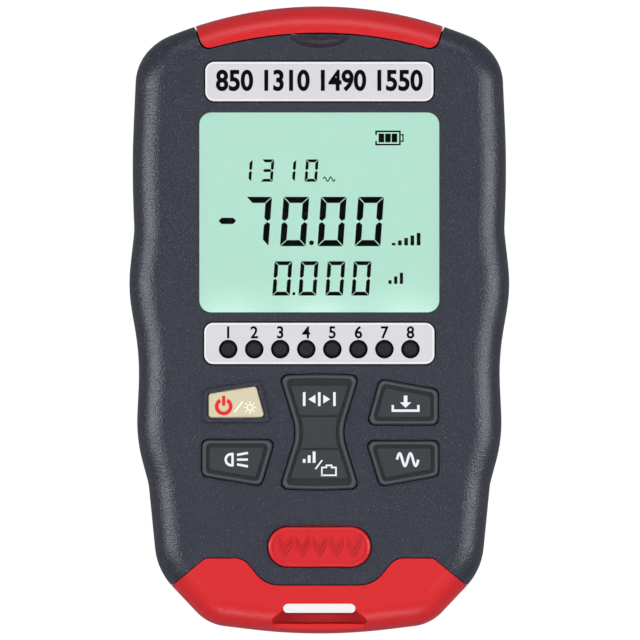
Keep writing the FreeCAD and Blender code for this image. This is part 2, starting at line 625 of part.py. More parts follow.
def make_inlays():
    """The silver plates and the display window, each let into the front shell."""
    title = new_body("title_plate")
    add_outline(title, "Outline", rounded_box("title_width", "title_length", "title_y",
                "plate_corner"), "case_depth - plate_recess", "case_depth - plate_recess + plate_thick")
    lamps = new_body("indicator_plate")
    add_outline(lamps, "Outline", rounded_box("lamps_width", "lamps_length", "lamps_y",
                "plate_corner"), "case_depth - plate_recess", "case_depth - plate_recess + plate_thick")
    cut_holes(lamps, "LampHoles", LAMPS, "lamp_hole", "case_depth", "plate_recess + 1")
    window = new_body("display_window")
    add_outline(window, "Pane", rounded_box("window_width", "window_length", "window_y",
                "window_corner"), CEILING + " - window_flange_thick", "case_depth - 0.05")
    add_outline(window, "Flange", rounded_box("window_width", "window_length", "window_y",
                "window_corner", "window_flange"), CEILING + " - window_flange_thick",
                CEILING + " - seat_gap")
    return [title, lamps, window]


# ---------------------------------------------------------------------------------------------
# Display, circuit board and lamps
# ---------------------------------------------------------------------------------------------

GLASS_TOP = "(%s - window_flange_thick - seat_gap)" % CEILING
GLASS_LOW = "(%s - glass_thick)" % GLASS_TOP


def make_display():
    panel = new_body("lcd_panel")
    add_outline(panel, "Outline", rounded_box("glass_width", "glass_length", "window_y", "0.6"),
                GLASS_LOW, GLASS_TOP)
    light = new_body("lcd_backlight")
    add_outline(light, "Outline", rounded_box("light_width", "light_length", "window_y", "0.8"),
                "board_top + seat_gap", GLASS_LOW + " - seat_gap")
    reach, half = size("glass_length / 2 - strip_thick - 0.2"), size("light_width / 2 - 1")
    low, tall = size("board_top"), size(GLASS_LOW + " - board_top")
    solids = []
    for start in (size("window_y") + reach, size("window_y") - reach - size("strip_thick")):
        solids.append(Part.makeBox(2 * half, size("strip_thick"), tall, vector(-half, start, low)))
    return [panel, light, copies("lcd_connector_strips", solids)]


def make_board():
    board = new_body("main_board")
    right = [("board_foot_half", "board_foot", "1"), ("board_foot_half", "board_waist_y", "0.8"),
             ("board_half", "board_waist_y", "1"), ("board_half", "board_neck_y", "1"),
             ("board_neck_half", "board_neck_y", "0.8"), ("board_neck_half", "board_crown", "1")]
    add_outline(board, "Outline", mirrored(right), "board_top - board_thick", "board_top")
    cut_holes(board, "ScrewHoles", POSTS, "small_screw_shaft + thread_gap", "board_top + 1",
              "board_thick + 2")
    chip = new_body("measuring_chip")
    add_boxes(chip, "Case", [("-5", "5", "4", "14")], "board_top - board_thick - 1.4",
              "board_top - board_thick")
    round_edges(chip, "0.25", level("board_top - board_thick - 1.4"), "Chamfer")
    return [board, chip]


def make_lamps():
    """The eight indicator lamps: a round lens with a domed top on a collar."""
    lamps = []
    for x, y in LAMPS:
        radius = size("lamp_size") / 2
        foot, top = size("board_top"), size("case_depth") - 0.15
        stem = Part.makeCylinder(radius, top - foot - 0.5, vector(size(x), size(y), foot))
        dome = Part.makeCone(radius, radius - 0.5, 0.5, vector(size(x), size(y), top - 0.5))
        collar = Part.makeCylinder(radius + 0.35, 0.8, vector(size(x), size(y), foot))
        lamps.append(stem.fuse([dome, collar]).removeSplitter())
    return copies("indicator_lamps", lamps)


# ---------------------------------------------------------------------------------------------
# Keys
# ---------------------------------------------------------------------------------------------

KEY_TOP = "(case_depth + key_proud)"
FLANGE_TOP = "(%s - seat_gap)" % CEILING
ROCKER_FLANGE_TOP = "(%s - 0.45)" % CEILING


def finish_key(body, rim, panels):
    """Cuts the groove inside a key's rim, rounds the rim and raises the panels in the groove."""
    sketch = new_sketch(body, "Groove", KEY_TOP)
    draw_rounded(sketch, rim)
    pocket(body, sketch, "key_groove")
    round_edges(body, "key_edge", level(KEY_TOP), "Chamfer")
    raised = new_sketch(body, "Panels", KEY_TOP + " - key_groove - overrun")
    for panel in panels:
        draw_rounded(raised, panel)
    pad(body, raised, "key_groove + overrun - panel_sink")
    round_edges(body, "panel_edge", level(KEY_TOP + " - panel_sink"), "Chamfer")


def make_key(label):
    body = new_body(label)
    bottom = "%s - key_flange_thick" % FLANGE_TOP
    add_outline(body, "Stem", key_outline(label), bottom, KEY_TOP)
    finish_key(body, key_outline(label, "-key_rim"),
               [key_outline(label, "-key_rim - panel_gap")])
    add_outline(body, "Flange", key_outline(label, "key_flange"), bottom, FLANGE_TOP)
    return body


def make_light_key():
    """The light key: a plain translucent block that stands in the collar on the case."""
    body = new_body("power_key")
    bottom = "%s - key_flange_thick" % FLANGE_TOP
    top = "case_depth + key_proud - panel_sink"
    add_outline(body, "Stem", key_outline("power_key", "-collar_wide"), bottom, top)
    round_edges(body, "panel_edge", level(top), "Chamfer")
    add_outline(body, "Flange", key_outline("power_key", "key_flange - collar_wide"), bottom,
                FLANGE_TOP)
    return body


def make_rocker():
    """The hourglass key: two panels on one moulding that rocks on its trunnions."""
    body = new_body("rocker_key")
    bottom = "%s - key_flange_thick" % ROCKER_FLANGE_TOP
    add_outline(body, "Stem", rocker_outline(), bottom, KEY_TOP)
    finish_key(body, rocker_outline("-key_rim"), [rocker_panel(1), rocker_panel(-1)])
    add_outline(body, "WaistPlate", rocker_waist_plate(), KEY_TOP + " - key_groove - overrun",
                KEY_TOP + " - waist_sink")
    add_outline(body, "Flange", mirrored([
        ("rocker_lip_half", "rocker_foot - key_flange", "key_flange"),
        ("rocker_lip_half", "rocker_top + key_flange", "key_flange")]), bottom,
        bottom + " + key_flange_thick")
    axle = new_sketch(body, "Trunnions", "0", "YZ_Plane")
    draw_circle(axle, "rocker_mid", ROCKER_AXIS, "trunnion_size")
    pad(body, axle, "2 * trunnion_reach - 0.2", both_ways=True)
    return body


def rocker_panel(way):
    """One of the two flat panels: wide at the key's end and narrow towards its waist."""
    end = "rocker_top" if way > 0 else "rocker_foot"
    far = "%s - (%d) * (key_rim + 2 * panel_gap)" % (end, way)
    near = "rocker_mid + (%d) * rocker_panel_gap" % way
    right = [("panel_narrow_half", near, "panel_corner"), ("panel_wide_half", far, "panel_corner")]
    return mirrored(right if way > 0 else right[::-1])


def rocker_waist_plate():
    """The slightly lower plate between the two panels, which follows the waist."""
    reach = "(rocker_panel_gap - 2 * panel_gap)"
    return mirrored([("waist_plate_half", "rocker_mid - " + reach, "panel_gap"),
                     ("rocker_waist - key_rim - panel_gap", "rocker_mid", "waist_plate_bend"),
                     ("waist_plate_half", "rocker_mid + " + reach, "panel_gap")])


def make_keypad():
    """A rubber sheet with one dome under each key and one under each end of the rocker."""
    body = new_body("keypad_mat")
    add_boxes(body, "Sheet", [("-mat_half", "mat_half", "rocker_foot - mat_margin",
              "rocker_top + mat_margin / 2")], "board_top", "board_top + mat_thick")
    add_posts(body, "KeyDomes", both_sides([("dome_x", "dome_y"), ("dome_low_x", "dome_low_y")]),
              "dome_size", "board_top + mat_thick - overrun",
              "%s - key_flange_thick" % FLANGE_TOP)
    add_posts(body, "RockerDomes", [("0", "rocker_top - dome_inset"),
              ("0", "rocker_foot + dome_inset")], "dome_size", "board_top + mat_thick - overrun",
              "%s - key_flange_thick" % ROCKER_FLANGE_TOP)
    return body


def make_release():
    """The oval release button, its flange and the stem that reaches towards the sled."""
    body = new_body("release_button")
    top = "case_depth + release_proud"
    bottom = "%s - release_flange_thick" % FLANGE_TOP
    add_outline(body, "Button", stadium(), bottom, top)
    round_edges(body, "release_edge", level(top))
    cut_outlines(body, "Dish", [stadium("-release_rim")], top, "release_dish")
    add_outline(body, "Flange", stadium("release_flange"), bottom, FLANGE_TOP)
    add_boxes(body, "Stem", [("-groove_half + stem_gap", "groove_half - stem_gap",
              "release_y - stem_half", "release_y + stem_half")],
              "sled_high + release_travel + slide_gap", bottom + " + overrun")
    return body


def coil(radius, wire, low, high, turns):
    """A coil spring about the Z axis, between two levels, in short straight runs of wire."""
    rise = high - low - wire - 0.04
    runs = int(turns * COIL_SIDES)
    path = Part.makePolygon([vector(radius * math.cos(math.tau * i / COIL_SIDES),
                                    radius * math.sin(math.tau * i / COIL_SIDES),
                                    low + wire / 2 + 0.02 + rise * i / runs)
                             for i in range(runs + 1)])
    start, second = path.Vertexes[0].Point, path.Vertexes[1].Point
    ring = Part.makeCircle(wire / 2, start, second - start)
    corners = ring.discretize(WIRE_SIDES + 1)
    return path.makePipeShell([Part.makePolygon(corners[:-1] + [corners[0]])], True, False, 1)


def make_springs():
    """Two coil springs that hold the release button up."""
    wire = size("spring_wire")
    solids = []
    for side in (-1, 1):
        spring = coil(size("spring_size") / 2 - wire / 2, wire, size("board_top"),
                      size(FLANGE_TOP) - 1.5, size("spring_turns"))
        spring.translate(vector(side * size("spring_x"), size("release_y"), 0))
        solids.append(spring)
    return copies("release_springs", solids)


# ---------------------------------------------------------------------------------------------
# Ports under the cover
# ---------------------------------------------------------------------------------------------

def rod_along_y(body, name, x, z, diameter, start, end):
    sketch = new_sketch(body, name, "-(%s)" % end, "XZ_Plane")
    draw_circle(sketch, x, z, diameter)
    return pad(body, sketch, "(%s) - (%s)" % (end, start))


def bore_along_y(body, name, x, z, diameter, start, end):
    sketch = new_sketch(body, name, "-(%s)" % start, "XZ_Plane")
    draw_circle(sketch, x, z, diameter)
    return pocket(body, sketch, "(%s) - (%s)" % (end, start))


def block_along_y(body, name, edges, start, end):
    sketch = new_sketch(body, name, "-(%s)" % end, "XZ_Plane")
    draw_rectangle(sketch, *edges)
    return pad(body, sketch, "(%s) - (%s)" % (end, start))


def make_port_panel():
    """The plate that holds the fibre port, the network socket and the torch lamp."""
    body = new_body("port_panel")
    back = "chamber_top - panel_thick"
    block_along_y(body, "Flange", ("-panel_half - panel_flange", "panel_half + panel_flange",
                  "panel_low - panel_lip_low", PANEL_HIGH + " + panel_lip_high"), back,
                "chamber_top - seat_gap")
    block_along_y(body, "Plug", ("-panel_half", "panel_half", "panel_low", PANEL_HIGH),
                  "chamber_top - 0.2", "panel_face_y")
    jack_half = "(jack_width / 2 + inlay_gap)"
    jack_low = "board_top - board_thick - jack_height"
    cut_along_y(body, "SocketWindow", ("jack_x - " + jack_half, "jack_x + " + jack_half,
                jack_low + " - inlay_gap", "board_top - board_thick + inlay_gap"), back + " - 1",
                "panel_thick + 5")
    bore_along_y(body, "OpticHole", "optic_x", "port_z", "optic_thread + 0.2", back + " - 1",
                 "panel_face_y + 1")
    bore_along_y(body, "TorchHole", "torch_x", "port_z", "torch_size + 0.2", back + " - 1",
                 "panel_face_y + 1")
    return body


def make_optic():
    """The fibre receptacle, a threaded metal barrel on a flange, and the photodiode behind it."""
    barrel = new_body("optical_receptacle")
    back = "chamber_top - panel_thick"
    tip = "panel_face_y + optic_proud"
    behind = back + " - optic_flange_thick"
    tail = behind + " - optic_tail_long"
    rod_along_y(barrel, "Flange", "optic_x", "port_z", "optic_flange", behind,
                back + " - seat_gap")
    rod_along_y(barrel, "Barrel", "optic_x", "port_z", "optic_thread", behind, tip)
    rod_along_y(barrel, "Tail", "optic_x", "port_z", "diode_size + optic_tail", tail,
                behind + " + overrun")
    cut_along_y(barrel, "KeyNotch", ("optic_x - key_slot_half", "optic_x + key_slot_half",
                "port_z + key_slot_low", "port_z + optic_thread"), tip + " - key_slot_long",
                "key_slot_long + 1")
    bore_along_y(barrel, "Counterbore", "optic_x", "port_z", "optic_bore + optic_mouth",
                 tip + " - optic_mouth_deep", tip + " + 1")
    bore_along_y(barrel, "Bore", "optic_x", "port_z", "optic_bore", tip + " - optic_bore_deep",
                 tip + " + 1")
    diode = new_body("photodiode")
    face = tail + " - seat_gap"
    rod_along_y(diode, "Can", "optic_x", "port_z", "diode_size", face + " - diode_can", face)
    rod_along_y(diode, "Base", "optic_x", "port_z", "diode_size + 1",
                face + " - diode_can - diode_base + overrun", face + " - diode_can + overrun")
    return [barrel, diode]


def make_torch():
    """The white lamp beside the fibre port: a flanged bulb with a domed end."""
    body = new_body("torch_lamp")
    back = "chamber_top - panel_thick"
    tip = "panel_face_y + torch_proud"
    rod_along_y(body, "Flange", "torch_x", "port_z", "torch_size + torch_flange",
                back + " - torch_flange_thick", back + " - seat_gap")
    rod_along_y(body, "Bulb", "torch_x", "port_z", "torch_size", back + " - torch_flange_thick",
                tip)
    round_edges(body, "torch_size / 2 - 0.3",
                lambda box: abs(box.YMin - size(tip)) < 1e-4 and box.YLength < 1e-4)
    return body


def make_jack(label, x, face, low):
    """A network socket that faces +Y, and its eight spring contacts."""
    body = new_body(label)
    half = "jack_width / 2"
    block_along_y(body, "Case", ("%s - %s" % (x, half), "%s + %s" % (x, half), low,
                  "%s + jack_height" % low), "%s - jack_deep" % face, face)
    floor = "%s + jack_sole + jack_latch_height" % low
    ceiling = "%s + jack_mouth_height" % floor
    cut_along_y(body, "Mouth", ("%s - jack_mouth / 2" % x, "%s + jack_mouth / 2" % x, floor,
                ceiling), "%s - jack_mouth_deep" % face, "jack_mouth_deep + 1")
    cut_along_y(body, "Latch", ("%s - jack_latch / 2" % x, "%s + jack_latch / 2" % x,
                "%s - jack_latch_height" % floor, "%s + 0.1" % floor),
                "%s - jack_mouth_deep" % face, "jack_mouth_deep + 1")
    edge, top = size(face), size(ceiling)
    profile = [vector(0, edge - 2.4, top), vector(0, edge - 3.2, top),
               vector(0, edge - 11.4, top - 2.1), vector(0, edge - 11.4, top - 2.5)]
    wide = size("contact_wide")
    contacts = []
    for number in range(8):
        shape = Part.Face(Part.makePolygon(profile + profile[:1])).extrude(vector(wide, 0, 0))
        shape.translate(vector(size(x) + (number - 3.5) * size("contact_pitch") - wide / 2, 0, 0))
        contacts.append(shape)
    return [body, copies(label + "_contacts", contacts)]


# ---------------------------------------------------------------------------------------------
# Port cover and its hinge
# ---------------------------------------------------------------------------------------------

def keep_only(body, name, corners):
    """Cuts away all that lies outside an outline, over the whole depth."""
    sketch = new_sketch(body, name, "case_depth + 2")
    draw_rounded(sketch, corners)
    draw_rectangle(sketch, "-100", "100", "-120", "120")
    return pocket(body, sketch, "case_depth + 6")


def make_port_cover():
    body = new_body("port_cover")
    add_outline(body, "Outline", case_outline(), "hinge_z + 1", "case_depth")
    round_edges(body, "front_round", level("case_depth"))
    keep_only(body, "Zone", cover_zone())
    side = "cover_corner_half - cover_wall"
    brow_half = "cover_tip_half - cover_wall - brow_inset"
    brow_y = "cover_tip_y - cover_wall + brow_rise"
    top = apex("crown_y - cover_wall", "crown_curve", brow_half, brow_y, 1)
    right = [(side, "cover_corner_y - 8", "0.3"), (side, "cover_corner_y", "2"),
             (brow_half, brow_y, "0.8")]
    inside = mirrored(right)
    inside.insert(3, ("0", "%.6f" % top, "crown_curve - 1"))
    cut_outlines(body, "Inside", [inside], "case_depth - cover_wall", "case_depth")
    relief = new_sketch(body, "ChinRelief", "0", "YZ_Plane")
    y, z = size("hinge_y"), size("hinge_z")
    radius = size("hinge_round + cover_gap")
    slant = radius / math.sqrt(2)
    relief.addGeometry(Part.Arc(vector(y, z + radius), vector(y + slant, z + slant),
                       vector(y + radius, z)), False)
    reach, foot = y - size("chin_reach"), -2.0
    run = [vector(y + radius, z), vector(y + radius, foot), vector(reach, foot),
           vector(reach, z + radius), vector(y, z + radius)]
    for a, b in zip(run, run[1:]):
        relief.addGeometry(Part.LineSegment(a, b), False)
    pocket(body, relief, "4 * cover_tip_half", both_ways=True)
    web = new_sketch(body, "Web", "0", "YZ_Plane")
    draw_rectangle(web, "hinge_y", "crown_y - web_inset", "hinge_z",
                   "hinge_z + hinge_round + web_rise")
    pad(body, web, "2 * knuckle_half", both_ways=True)
    knuckle = new_sketch(body, "Knuckle", "0", "YZ_Plane")
    draw_circle(knuckle, "hinge_y", "hinge_z", "2 * hinge_round")
    pad(body, knuckle, "2 * knuckle_half", both_ways=True)
    cut_across(body, "HingeBore", "hinge_y", "hinge_z", "hinge_pin + 2 * pin_gap",
               "2 * knuckle_half + 2")
    pin = new_body("cover_hinge_pin")
    axle = new_sketch(pin, "Pin", "0", "YZ_Plane")
    draw_circle(axle, "hinge_y", "hinge_z", "hinge_pin")
    pad(pin, axle, "2 * hinge_pin_half", both_ways=True)
    return [body, pin]


# ---------------------------------------------------------------------------------------------
# Batteries and their door
# ---------------------------------------------------------------------------------------------

def make_batteries():
    """Three cells that lie side by side, every second one turned round, and their contacts."""
    low, high = size("bay_foot"), size("bay_top")
    middle = (low + high) / 2
    nub, length = 1.0, size("cell_length")
    plates, springs, cells = [], [], []
    for number in range(3):
        way = -1 if number == 1 else 1
        x = (number - 1) * size("cell_pitch")
        base = Part.makeCylinder(size("cell_size") / 2, length - nub)
        rims = [edge for edge in base.Edges if edge.BoundBox.ZLength < 1e-4]
        cell = base.makeChamfer(0.5, rims).fuse(Part.makeCylinder(1.9, length, vector(0, 0, 0)))
        cell = cell.removeSplitter()
        cell.rotate(vector(0, 0, 0), vector(1, 0, 0), -90 * way)
        cell.translate(vector(x, middle - way * length / 2, size("cell_z")))
        node = doc.addObject("Part::Feature", "battery_%d" % (number + 1))
        node.Label = node.Name
        node.Shape = cell
        cells.append(node)
        room = (high - low - length) / 2 - 0.03
        thick = size("contact_thick")
        plate = Part.makeBox(8, 8, thick, vector(-4, -4, 0.02))
        button = Part.makeCone(2.6, 1.6, room - thick, vector(0, 0, thick))
        spring = coil(2.1, 0.6, thick - 0.15, room - 0.02, 3)
        for shape, turned, group in ((plate.fuse(button), way, plates),
                                     (plate.fuse(spring), -way, springs)):
            shape.rotate(vector(0, 0, 0), vector(1, 0, 0), 90 * turned)
            shape.translate(vector(x, high if turned > 0 else low, size("cell_z")))
            group.append(shape)
    return cells + [copies("battery_buttons", plates), copies("battery_springs", springs)]


def make_battery_door():
    body = new_body("battery_door")
    add_outline(body, "Plate", [("-door_half", "door_foot", "2"), ("door_half", "door_foot", "2"),
                ("door_half", "door_top", "1"), ("-door_half", "door_top", "1")], "0",
                "door_thick")
    hooks = [("%shook_x - hook_width / 2" % side, "%shook_x + hook_width / 2" % side,
              "door_top - hook_back", "door_top + hook_ahead") for side in ("", "-")]
    add_boxes(body, "Hooks", hooks, "door_thick - 0.5", "door_thick")
    lines = ["door_foot + ridge_inset + %d * ridge_pitch" % line for line in range(5)]
    cut_boxes(body, "Grip", [("-ridge_half", "ridge_half", line, line + " + ridge_wide")
                             for line in lines], "ridge_deep", "1")
    # two ribs inside stiffen the door and keep the cells down
    ends = ("bay_foot + rib_inset", "bay_top - rib_inset")
    add_boxes(body, "Ribs", [("-rib_x - rib_thick", "-rib_x") + ends,
              ("rib_x", "rib_x + rib_thick") + ends], "door_thick - overrun",
              "cell_z - cell_size / 2 + rib_rise")
    return body


# ---------------------------------------------------------------------------------------------
# Remote unit
# ---------------------------------------------------------------------------------------------

def make_remote_half(label, low, high, rounding, face):
    body = new_body(label)
    add_outline(body, "Outline", case_outline(), low, high)
    round_edges(body, rounding, level(face))
    cut_seam(body, "split_height + seam_groove" if face == high else "split_height")
    keep_only(body, "Zone", remote_zone())
    return body


def make_remote_shells():
    jack_half = "(jack_width / 2 + seat_gap)"
    room = [("-" + jack_half, jack_half, "remote_room_y", "sled_end + 1")]
    slot = [("-slot_half", "slot_low_y", "0.8"), ("slot_half", "slot_low_y", "0.8"),
            ("slot_half", "slot_high_y", "1.1"), ("-slot_half", "slot_high_y", "1.1")]
    front = make_remote_half("remote_front_shell", "split_height", "case_depth", "front_round",
                             "case_depth")
    add_boxes(front, "Sled", [("-sled_half", "sled_half", "throat_y - 2", "sled_end")],
              "split_height", "sled_high")
    cut_boxes(front, "JackRoom", room, "remote_jack_low + jack_height + seat_gap", "jack_height")
    scoop = [("-scoop_half", "slot_high_y", "1.5"), ("-scoop_mid_half", "scoop_mid_y", "2"),
             ("-scoop_foot_half", "scoop_far_y", "1"), ("scoop_foot_half", "scoop_far_y", "1"),
             ("scoop_mid_half", "scoop_mid_y", "2"), ("scoop_half", "slot_high_y", "1.5")]
    well = [("-scoop_half", "slot_high_y", "1.5"), ("-scoop_mid_half", "scoop_mid_y", "1"),
            ("-scoop_mid_half - scoop_flare", "scoop_well_y", "scoop_flare"),
            ("scoop_mid_half + scoop_flare", "scoop_well_y", "scoop_flare"),
            ("scoop_mid_half", "scoop_mid_y", "1"), ("scoop_half", "slot_high_y", "1.5")]
    strap_bay = [("-strap_bay_half", "slot_high_y", "2"), ("-strap_bay_half", "scoop_far_y", "1"),
                 ("strap_bay_half", "scoop_far_y", "1"), ("strap_bay_half", "slot_high_y", "2")]
    cut_outlines(front, "Scoop", [scoop], "case_depth", "scoop_deep")
    cut_outlines(front, "Well", [well], "case_depth", "scoop_well_deep")
    cut_outlines(front, "LanyardSlot", [slot], "case_depth", "case_depth")
    cut_outlines(front, "StrapBay", [strap_bay], "strap_bay_high", "strap_bay_high")
    screws = both_sides([("remote_screw_x", "remote_screw_y")])
    cut_holes(front, "Pilots", screws, "small_screw_shaft", "split_height + 6", "8")
    rear = make_remote_half("remote_rear_shell", "0", "split_height", "back_round", "0")
    add_boxes(rear, "Sled", [("-sled_half", "sled_half", "throat_y - 2", "sled_end")],
              "sled_low", "split_height")
    cut_boxes(rear, "JackRoom", room, "split_height + 1",
              "split_height + 1 - remote_jack_low + seat_gap")
    cut_outlines(rear, "StrapBay", [strap_bay], "split_height + 1", "split_height + 2")
    cut_holes(rear, "ScrewHoles", screws, "small_screw_shaft + thread_gap", "split_height + 1",
              "split_height + 2")
    cut_holes(rear, "ScrewSinks", screws, "small_screw_head + thread_gap", "screw_sink",
              "screw_sink + 1")
    return [front, rear]


def make_remote_board():
    body = new_body("remote_board")
    half = "jack_width / 2"
    back = "sled_end - 0.4 - jack_deep"
    block_along_y(body, "Board", ("-" + half, half, "remote_jack_low", "remote_jack_low + jack_height"),
                  back + " - 1.4", back + " - seat_gap")
    return body


# ---------------------------------------------------------------------------------------------
# Screws
# ---------------------------------------------------------------------------------------------

def screw(shaft, head, head_thick, length, seat, way=1):
    """A pan-head screw along Z whose head seats at a height and whose shaft points up."""
    body = Part.makeCylinder(shaft / 2, length, vector(0, 0, seat))
    cap = Part.makeCylinder(head / 2, head_thick, vector(0, 0, seat - head_thick))
    rim = [edge for edge in cap.Edges if abs(edge.BoundBox.ZMax - seat + head_thick) < 1e-4]
    cap = cap.makeChamfer(head_thick * 0.35, rim)
    long_way = Part.makeBox(head * 0.55, head * 0.14, head_thick * 0.6,
                            vector(-head * 0.275, -head * 0.07, seat - head_thick - 0.01))
    cross = long_way.copy()
    cross.rotate(vector(0, 0, 0), vector(0, 0, 1), 90)
    return body.fuse(cap).cut(long_way).cut(cross).removeSplitter()


def make_screws():
    sets = {
        "housing_screws": (BOSSES, screw(size("screw_shaft - 0.1"), size("screw_head"),
                           size("screw_head_thick"), size("screw_length"),
                           size("screw_sink - 0.02"))),
        "board_screws": (POSTS, screw(size("small_screw_shaft - 0.1"), size("small_screw_head"),
                         size("board_screw_head_thick"), size("board_thick + board_screw_bite"),
                         size("board_top - board_thick - 0.02"))),
        "remote_screws": (both_sides([("remote_screw_x", "remote_screw_y")]),
                          screw(size("small_screw_shaft - 0.1"), size("small_screw_head"),
                                size("remote_screw_head_thick"), size("remote_screw_length"),
                                size("screw_sink - 0.02"))),
    }
    nodes = []
    for label, (places, pattern) in sets.items():
        solids = []
        for x, y in places:
            one = pattern.copy()
            one.translate(vector(size(x), size(y), 0))
            solids.append(one)
        nodes.append(copies(label, solids))
    return nodes


# ---------------------------------------------------------------------------------------------
# The whole instrument
# ---------------------------------------------------------------------------------------------

def main():
    nodes = [make_front_shell(), make_rear_shell()]
    nodes += make_inlays() + make_display() + make_board() + [make_lamps(), make_keypad()]
    nodes += [make_light_key()] + [make_key(label) for label in KEYS if label != "power_key"]
    nodes += [make_rocker(), make_release(), make_springs()]
    nodes += [make_port_panel()] + make_optic() + [make_torch()] + make_port_cover()
    nodes += make_jack("network_socket", "jack_x", "panel_face_y + 0.1",
                       "(board_top - board_thick - jack_height)")
    nodes += make_jack("remote_socket", "0", "(sled_end - 0.4)", "remote_jack_low")
    nodes += make_batteries() + [make_battery_door()]
    nodes += make_remote_shells() + [make_remote_board()] + make_screws()
    doc.recompute()
    for thing in doc.Objects:
        if "Invalid" in thing.State or "Error" in thing.State:
            raise RuntimeError("%s failed: %s" % (thing.Name, thing.State))
    for node in nodes:
        if node.Shape.isNull() or not node.Shape.isValid():
            raise RuntimeError("%s has no valid shape" % node.Label)
    os.makedirs("parts", exist_ok=True)
    for node in nodes:
        node.Shape.exportStep("parts/%s.step" % node.Label)
        print("%-24s %8.1f mm3, %d solids" % (node.Label, node.Shape.Volume, len(node.Shape.Solids)))


main()
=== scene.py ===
# %% [markdown]
# # A hand-held optical power meter, dressed for its picture
#
# The meter is a moulded instrument: two dark grained shells, a red cover over the ports at one
# end, a red remote unit that slides off the other end, a lit display, five rubber keys and a red
# release button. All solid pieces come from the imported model, which stays exactly where it is.
# This lesson gives each of them a finish, adds the thin printed and moulded detail, and lights
# the whole.

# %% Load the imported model
import math

import bpy
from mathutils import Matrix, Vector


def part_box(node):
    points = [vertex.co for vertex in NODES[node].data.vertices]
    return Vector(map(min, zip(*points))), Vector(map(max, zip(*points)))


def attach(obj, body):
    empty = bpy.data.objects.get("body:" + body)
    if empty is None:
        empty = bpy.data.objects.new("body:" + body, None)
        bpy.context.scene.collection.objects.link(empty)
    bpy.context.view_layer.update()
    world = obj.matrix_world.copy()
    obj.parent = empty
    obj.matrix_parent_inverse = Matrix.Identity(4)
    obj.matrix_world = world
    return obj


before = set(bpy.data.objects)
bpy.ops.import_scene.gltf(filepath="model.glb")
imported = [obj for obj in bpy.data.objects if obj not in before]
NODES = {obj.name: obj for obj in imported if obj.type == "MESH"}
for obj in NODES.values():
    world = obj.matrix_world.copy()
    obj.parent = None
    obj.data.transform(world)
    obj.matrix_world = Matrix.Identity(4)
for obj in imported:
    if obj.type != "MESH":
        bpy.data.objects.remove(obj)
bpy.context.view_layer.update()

# %% [markdown]
# ## Units and colours
#
# Every length on the object is given in millimetres, as on a drawing, and turned into metres
# where the mesh is made. The studio around it is given in metres. Colours are given as a painter
# would read them, from 0 to 255, and are turned into the linear light values that shaders use.

# %% Units, colours and heights
MM = 0.001
WHITE = (1, 1, 1, 1)


def tint(red, green, blue):
    """A colour read from 0 to 255, as linear light with an alpha of one."""
    def linear(level):
        level /= 255
        return level / 12.92 if level <= 0.04045 else ((level + 0.055) / 1.055) ** 2.4
    return (linear(red), linear(green), linear(blue), 1.0)


def top_of(node):
    """The height of a node's highest point, in millimetres."""
    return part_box(node)[1][2] / MM


CASE_FACE = top_of("remote_front_shell")
print("case face at %.2f mm" % CASE_FACE)

# %% [markdown]
# ## Short ways to make shader nodes
#
# Every finish below is a small tree of shader nodes. Making a node, giving it its properties and
# filling its sockets takes many lines by hand, so a few helpers do it in one. A Mix node keeps
# its colour sockets behind its number and vector ones, which is why they are picked by place.

# %% Helpers for shader nodes
MIX_SHARE, MIX_FIRST, MIX_SECOND, MIX_RESULT = 0, 6, 7, 2


def add_node(tree, kind, settings=None, values=None):
    """A node with its properties and its unlinked socket values."""
    node = tree.nodes.new(kind)
    for label, value in (settings or {}).items():
        setattr(node, label, value)
    for label, value in (values or {}).items():
        node.inputs[label].default_value = value
    return node


def arithmetic(tree, operation, second=None, clamp=False):
    """A Math node, with its second value where that one stays the same."""
    return add_node(tree, "ShaderNodeMath", {"operation": operation, "use_clamp": clamp},
                    None if second is None else {1: second})


def split_axes(tree, source):
    """The X, Y and Z outputs of a texture coordinate."""
    place = add_node(tree, "ShaderNodeTexCoord")
    axes = add_node(tree, "ShaderNodeSeparateXYZ")
    tree.links.new(place.outputs[source], axes.inputs[0])
    return axes.outputs


def shader(name, settings):
    """A material with one Principled shader, and that shader's settings."""
    material = bpy.data.materials.new(name)
    material.use_nodes = True
    surface = material.node_tree.nodes["Principled BSDF"]
    for socket, value in settings.items():
        surface.inputs[socket].default_value = value
    return material


print("linear middle grey: %.3f" % tint(128, 128, 128)[0])

# %% [markdown]
# ## The camera
#
# The instrument lies on its back and the picture is taken from straight above. A long lens far
# away keeps the sides upright, so that the outline is the true outline.

# %% Camera looking straight down
FIELD, ASIDE = 122.9, 0.13
LENS, SENSOR = 300, 36

camera_data = bpy.data.cameras.new("overhead_camera")
camera_data.lens, camera_data.sensor_width = LENS, SENSOR
camera_data.clip_end = 10
camera = bpy.data.objects.new("overhead_camera", camera_data)
camera.location = (ASIDE * MM, 0, (CASE_FACE + FIELD * LENS / SENSOR) * MM)
bpy.context.scene.collection.objects.link(camera)
bpy.context.scene.camera = camera
print("camera height %.3f m" % camera.location.z)

# %% [markdown]
# ## Soft boxes
#
# Two long soft boxes stand left and right, about forty-five degrees from the vertical, because
# that is where the rounded shoulders of the case mirror them as two soft bright bands. A weaker
# one beyond the port end lights the crown of the red cover, and its twin at the near end lights
# the remote unit. Area lights are used, because their size is what makes the bands soft.

# %% Soft boxes
SIDE_REACH, SIDE_RISE, SIDE_POWER = 0.68, 0.7, 5.9
END_REACH, END_RISE, FAR_POWER, NEAR_POWER = 0.75, 0.62, 1.7, 1.6
LONG_BOX, WIDE_BOX = (0.3, 0.9), (0.7, 0.22)


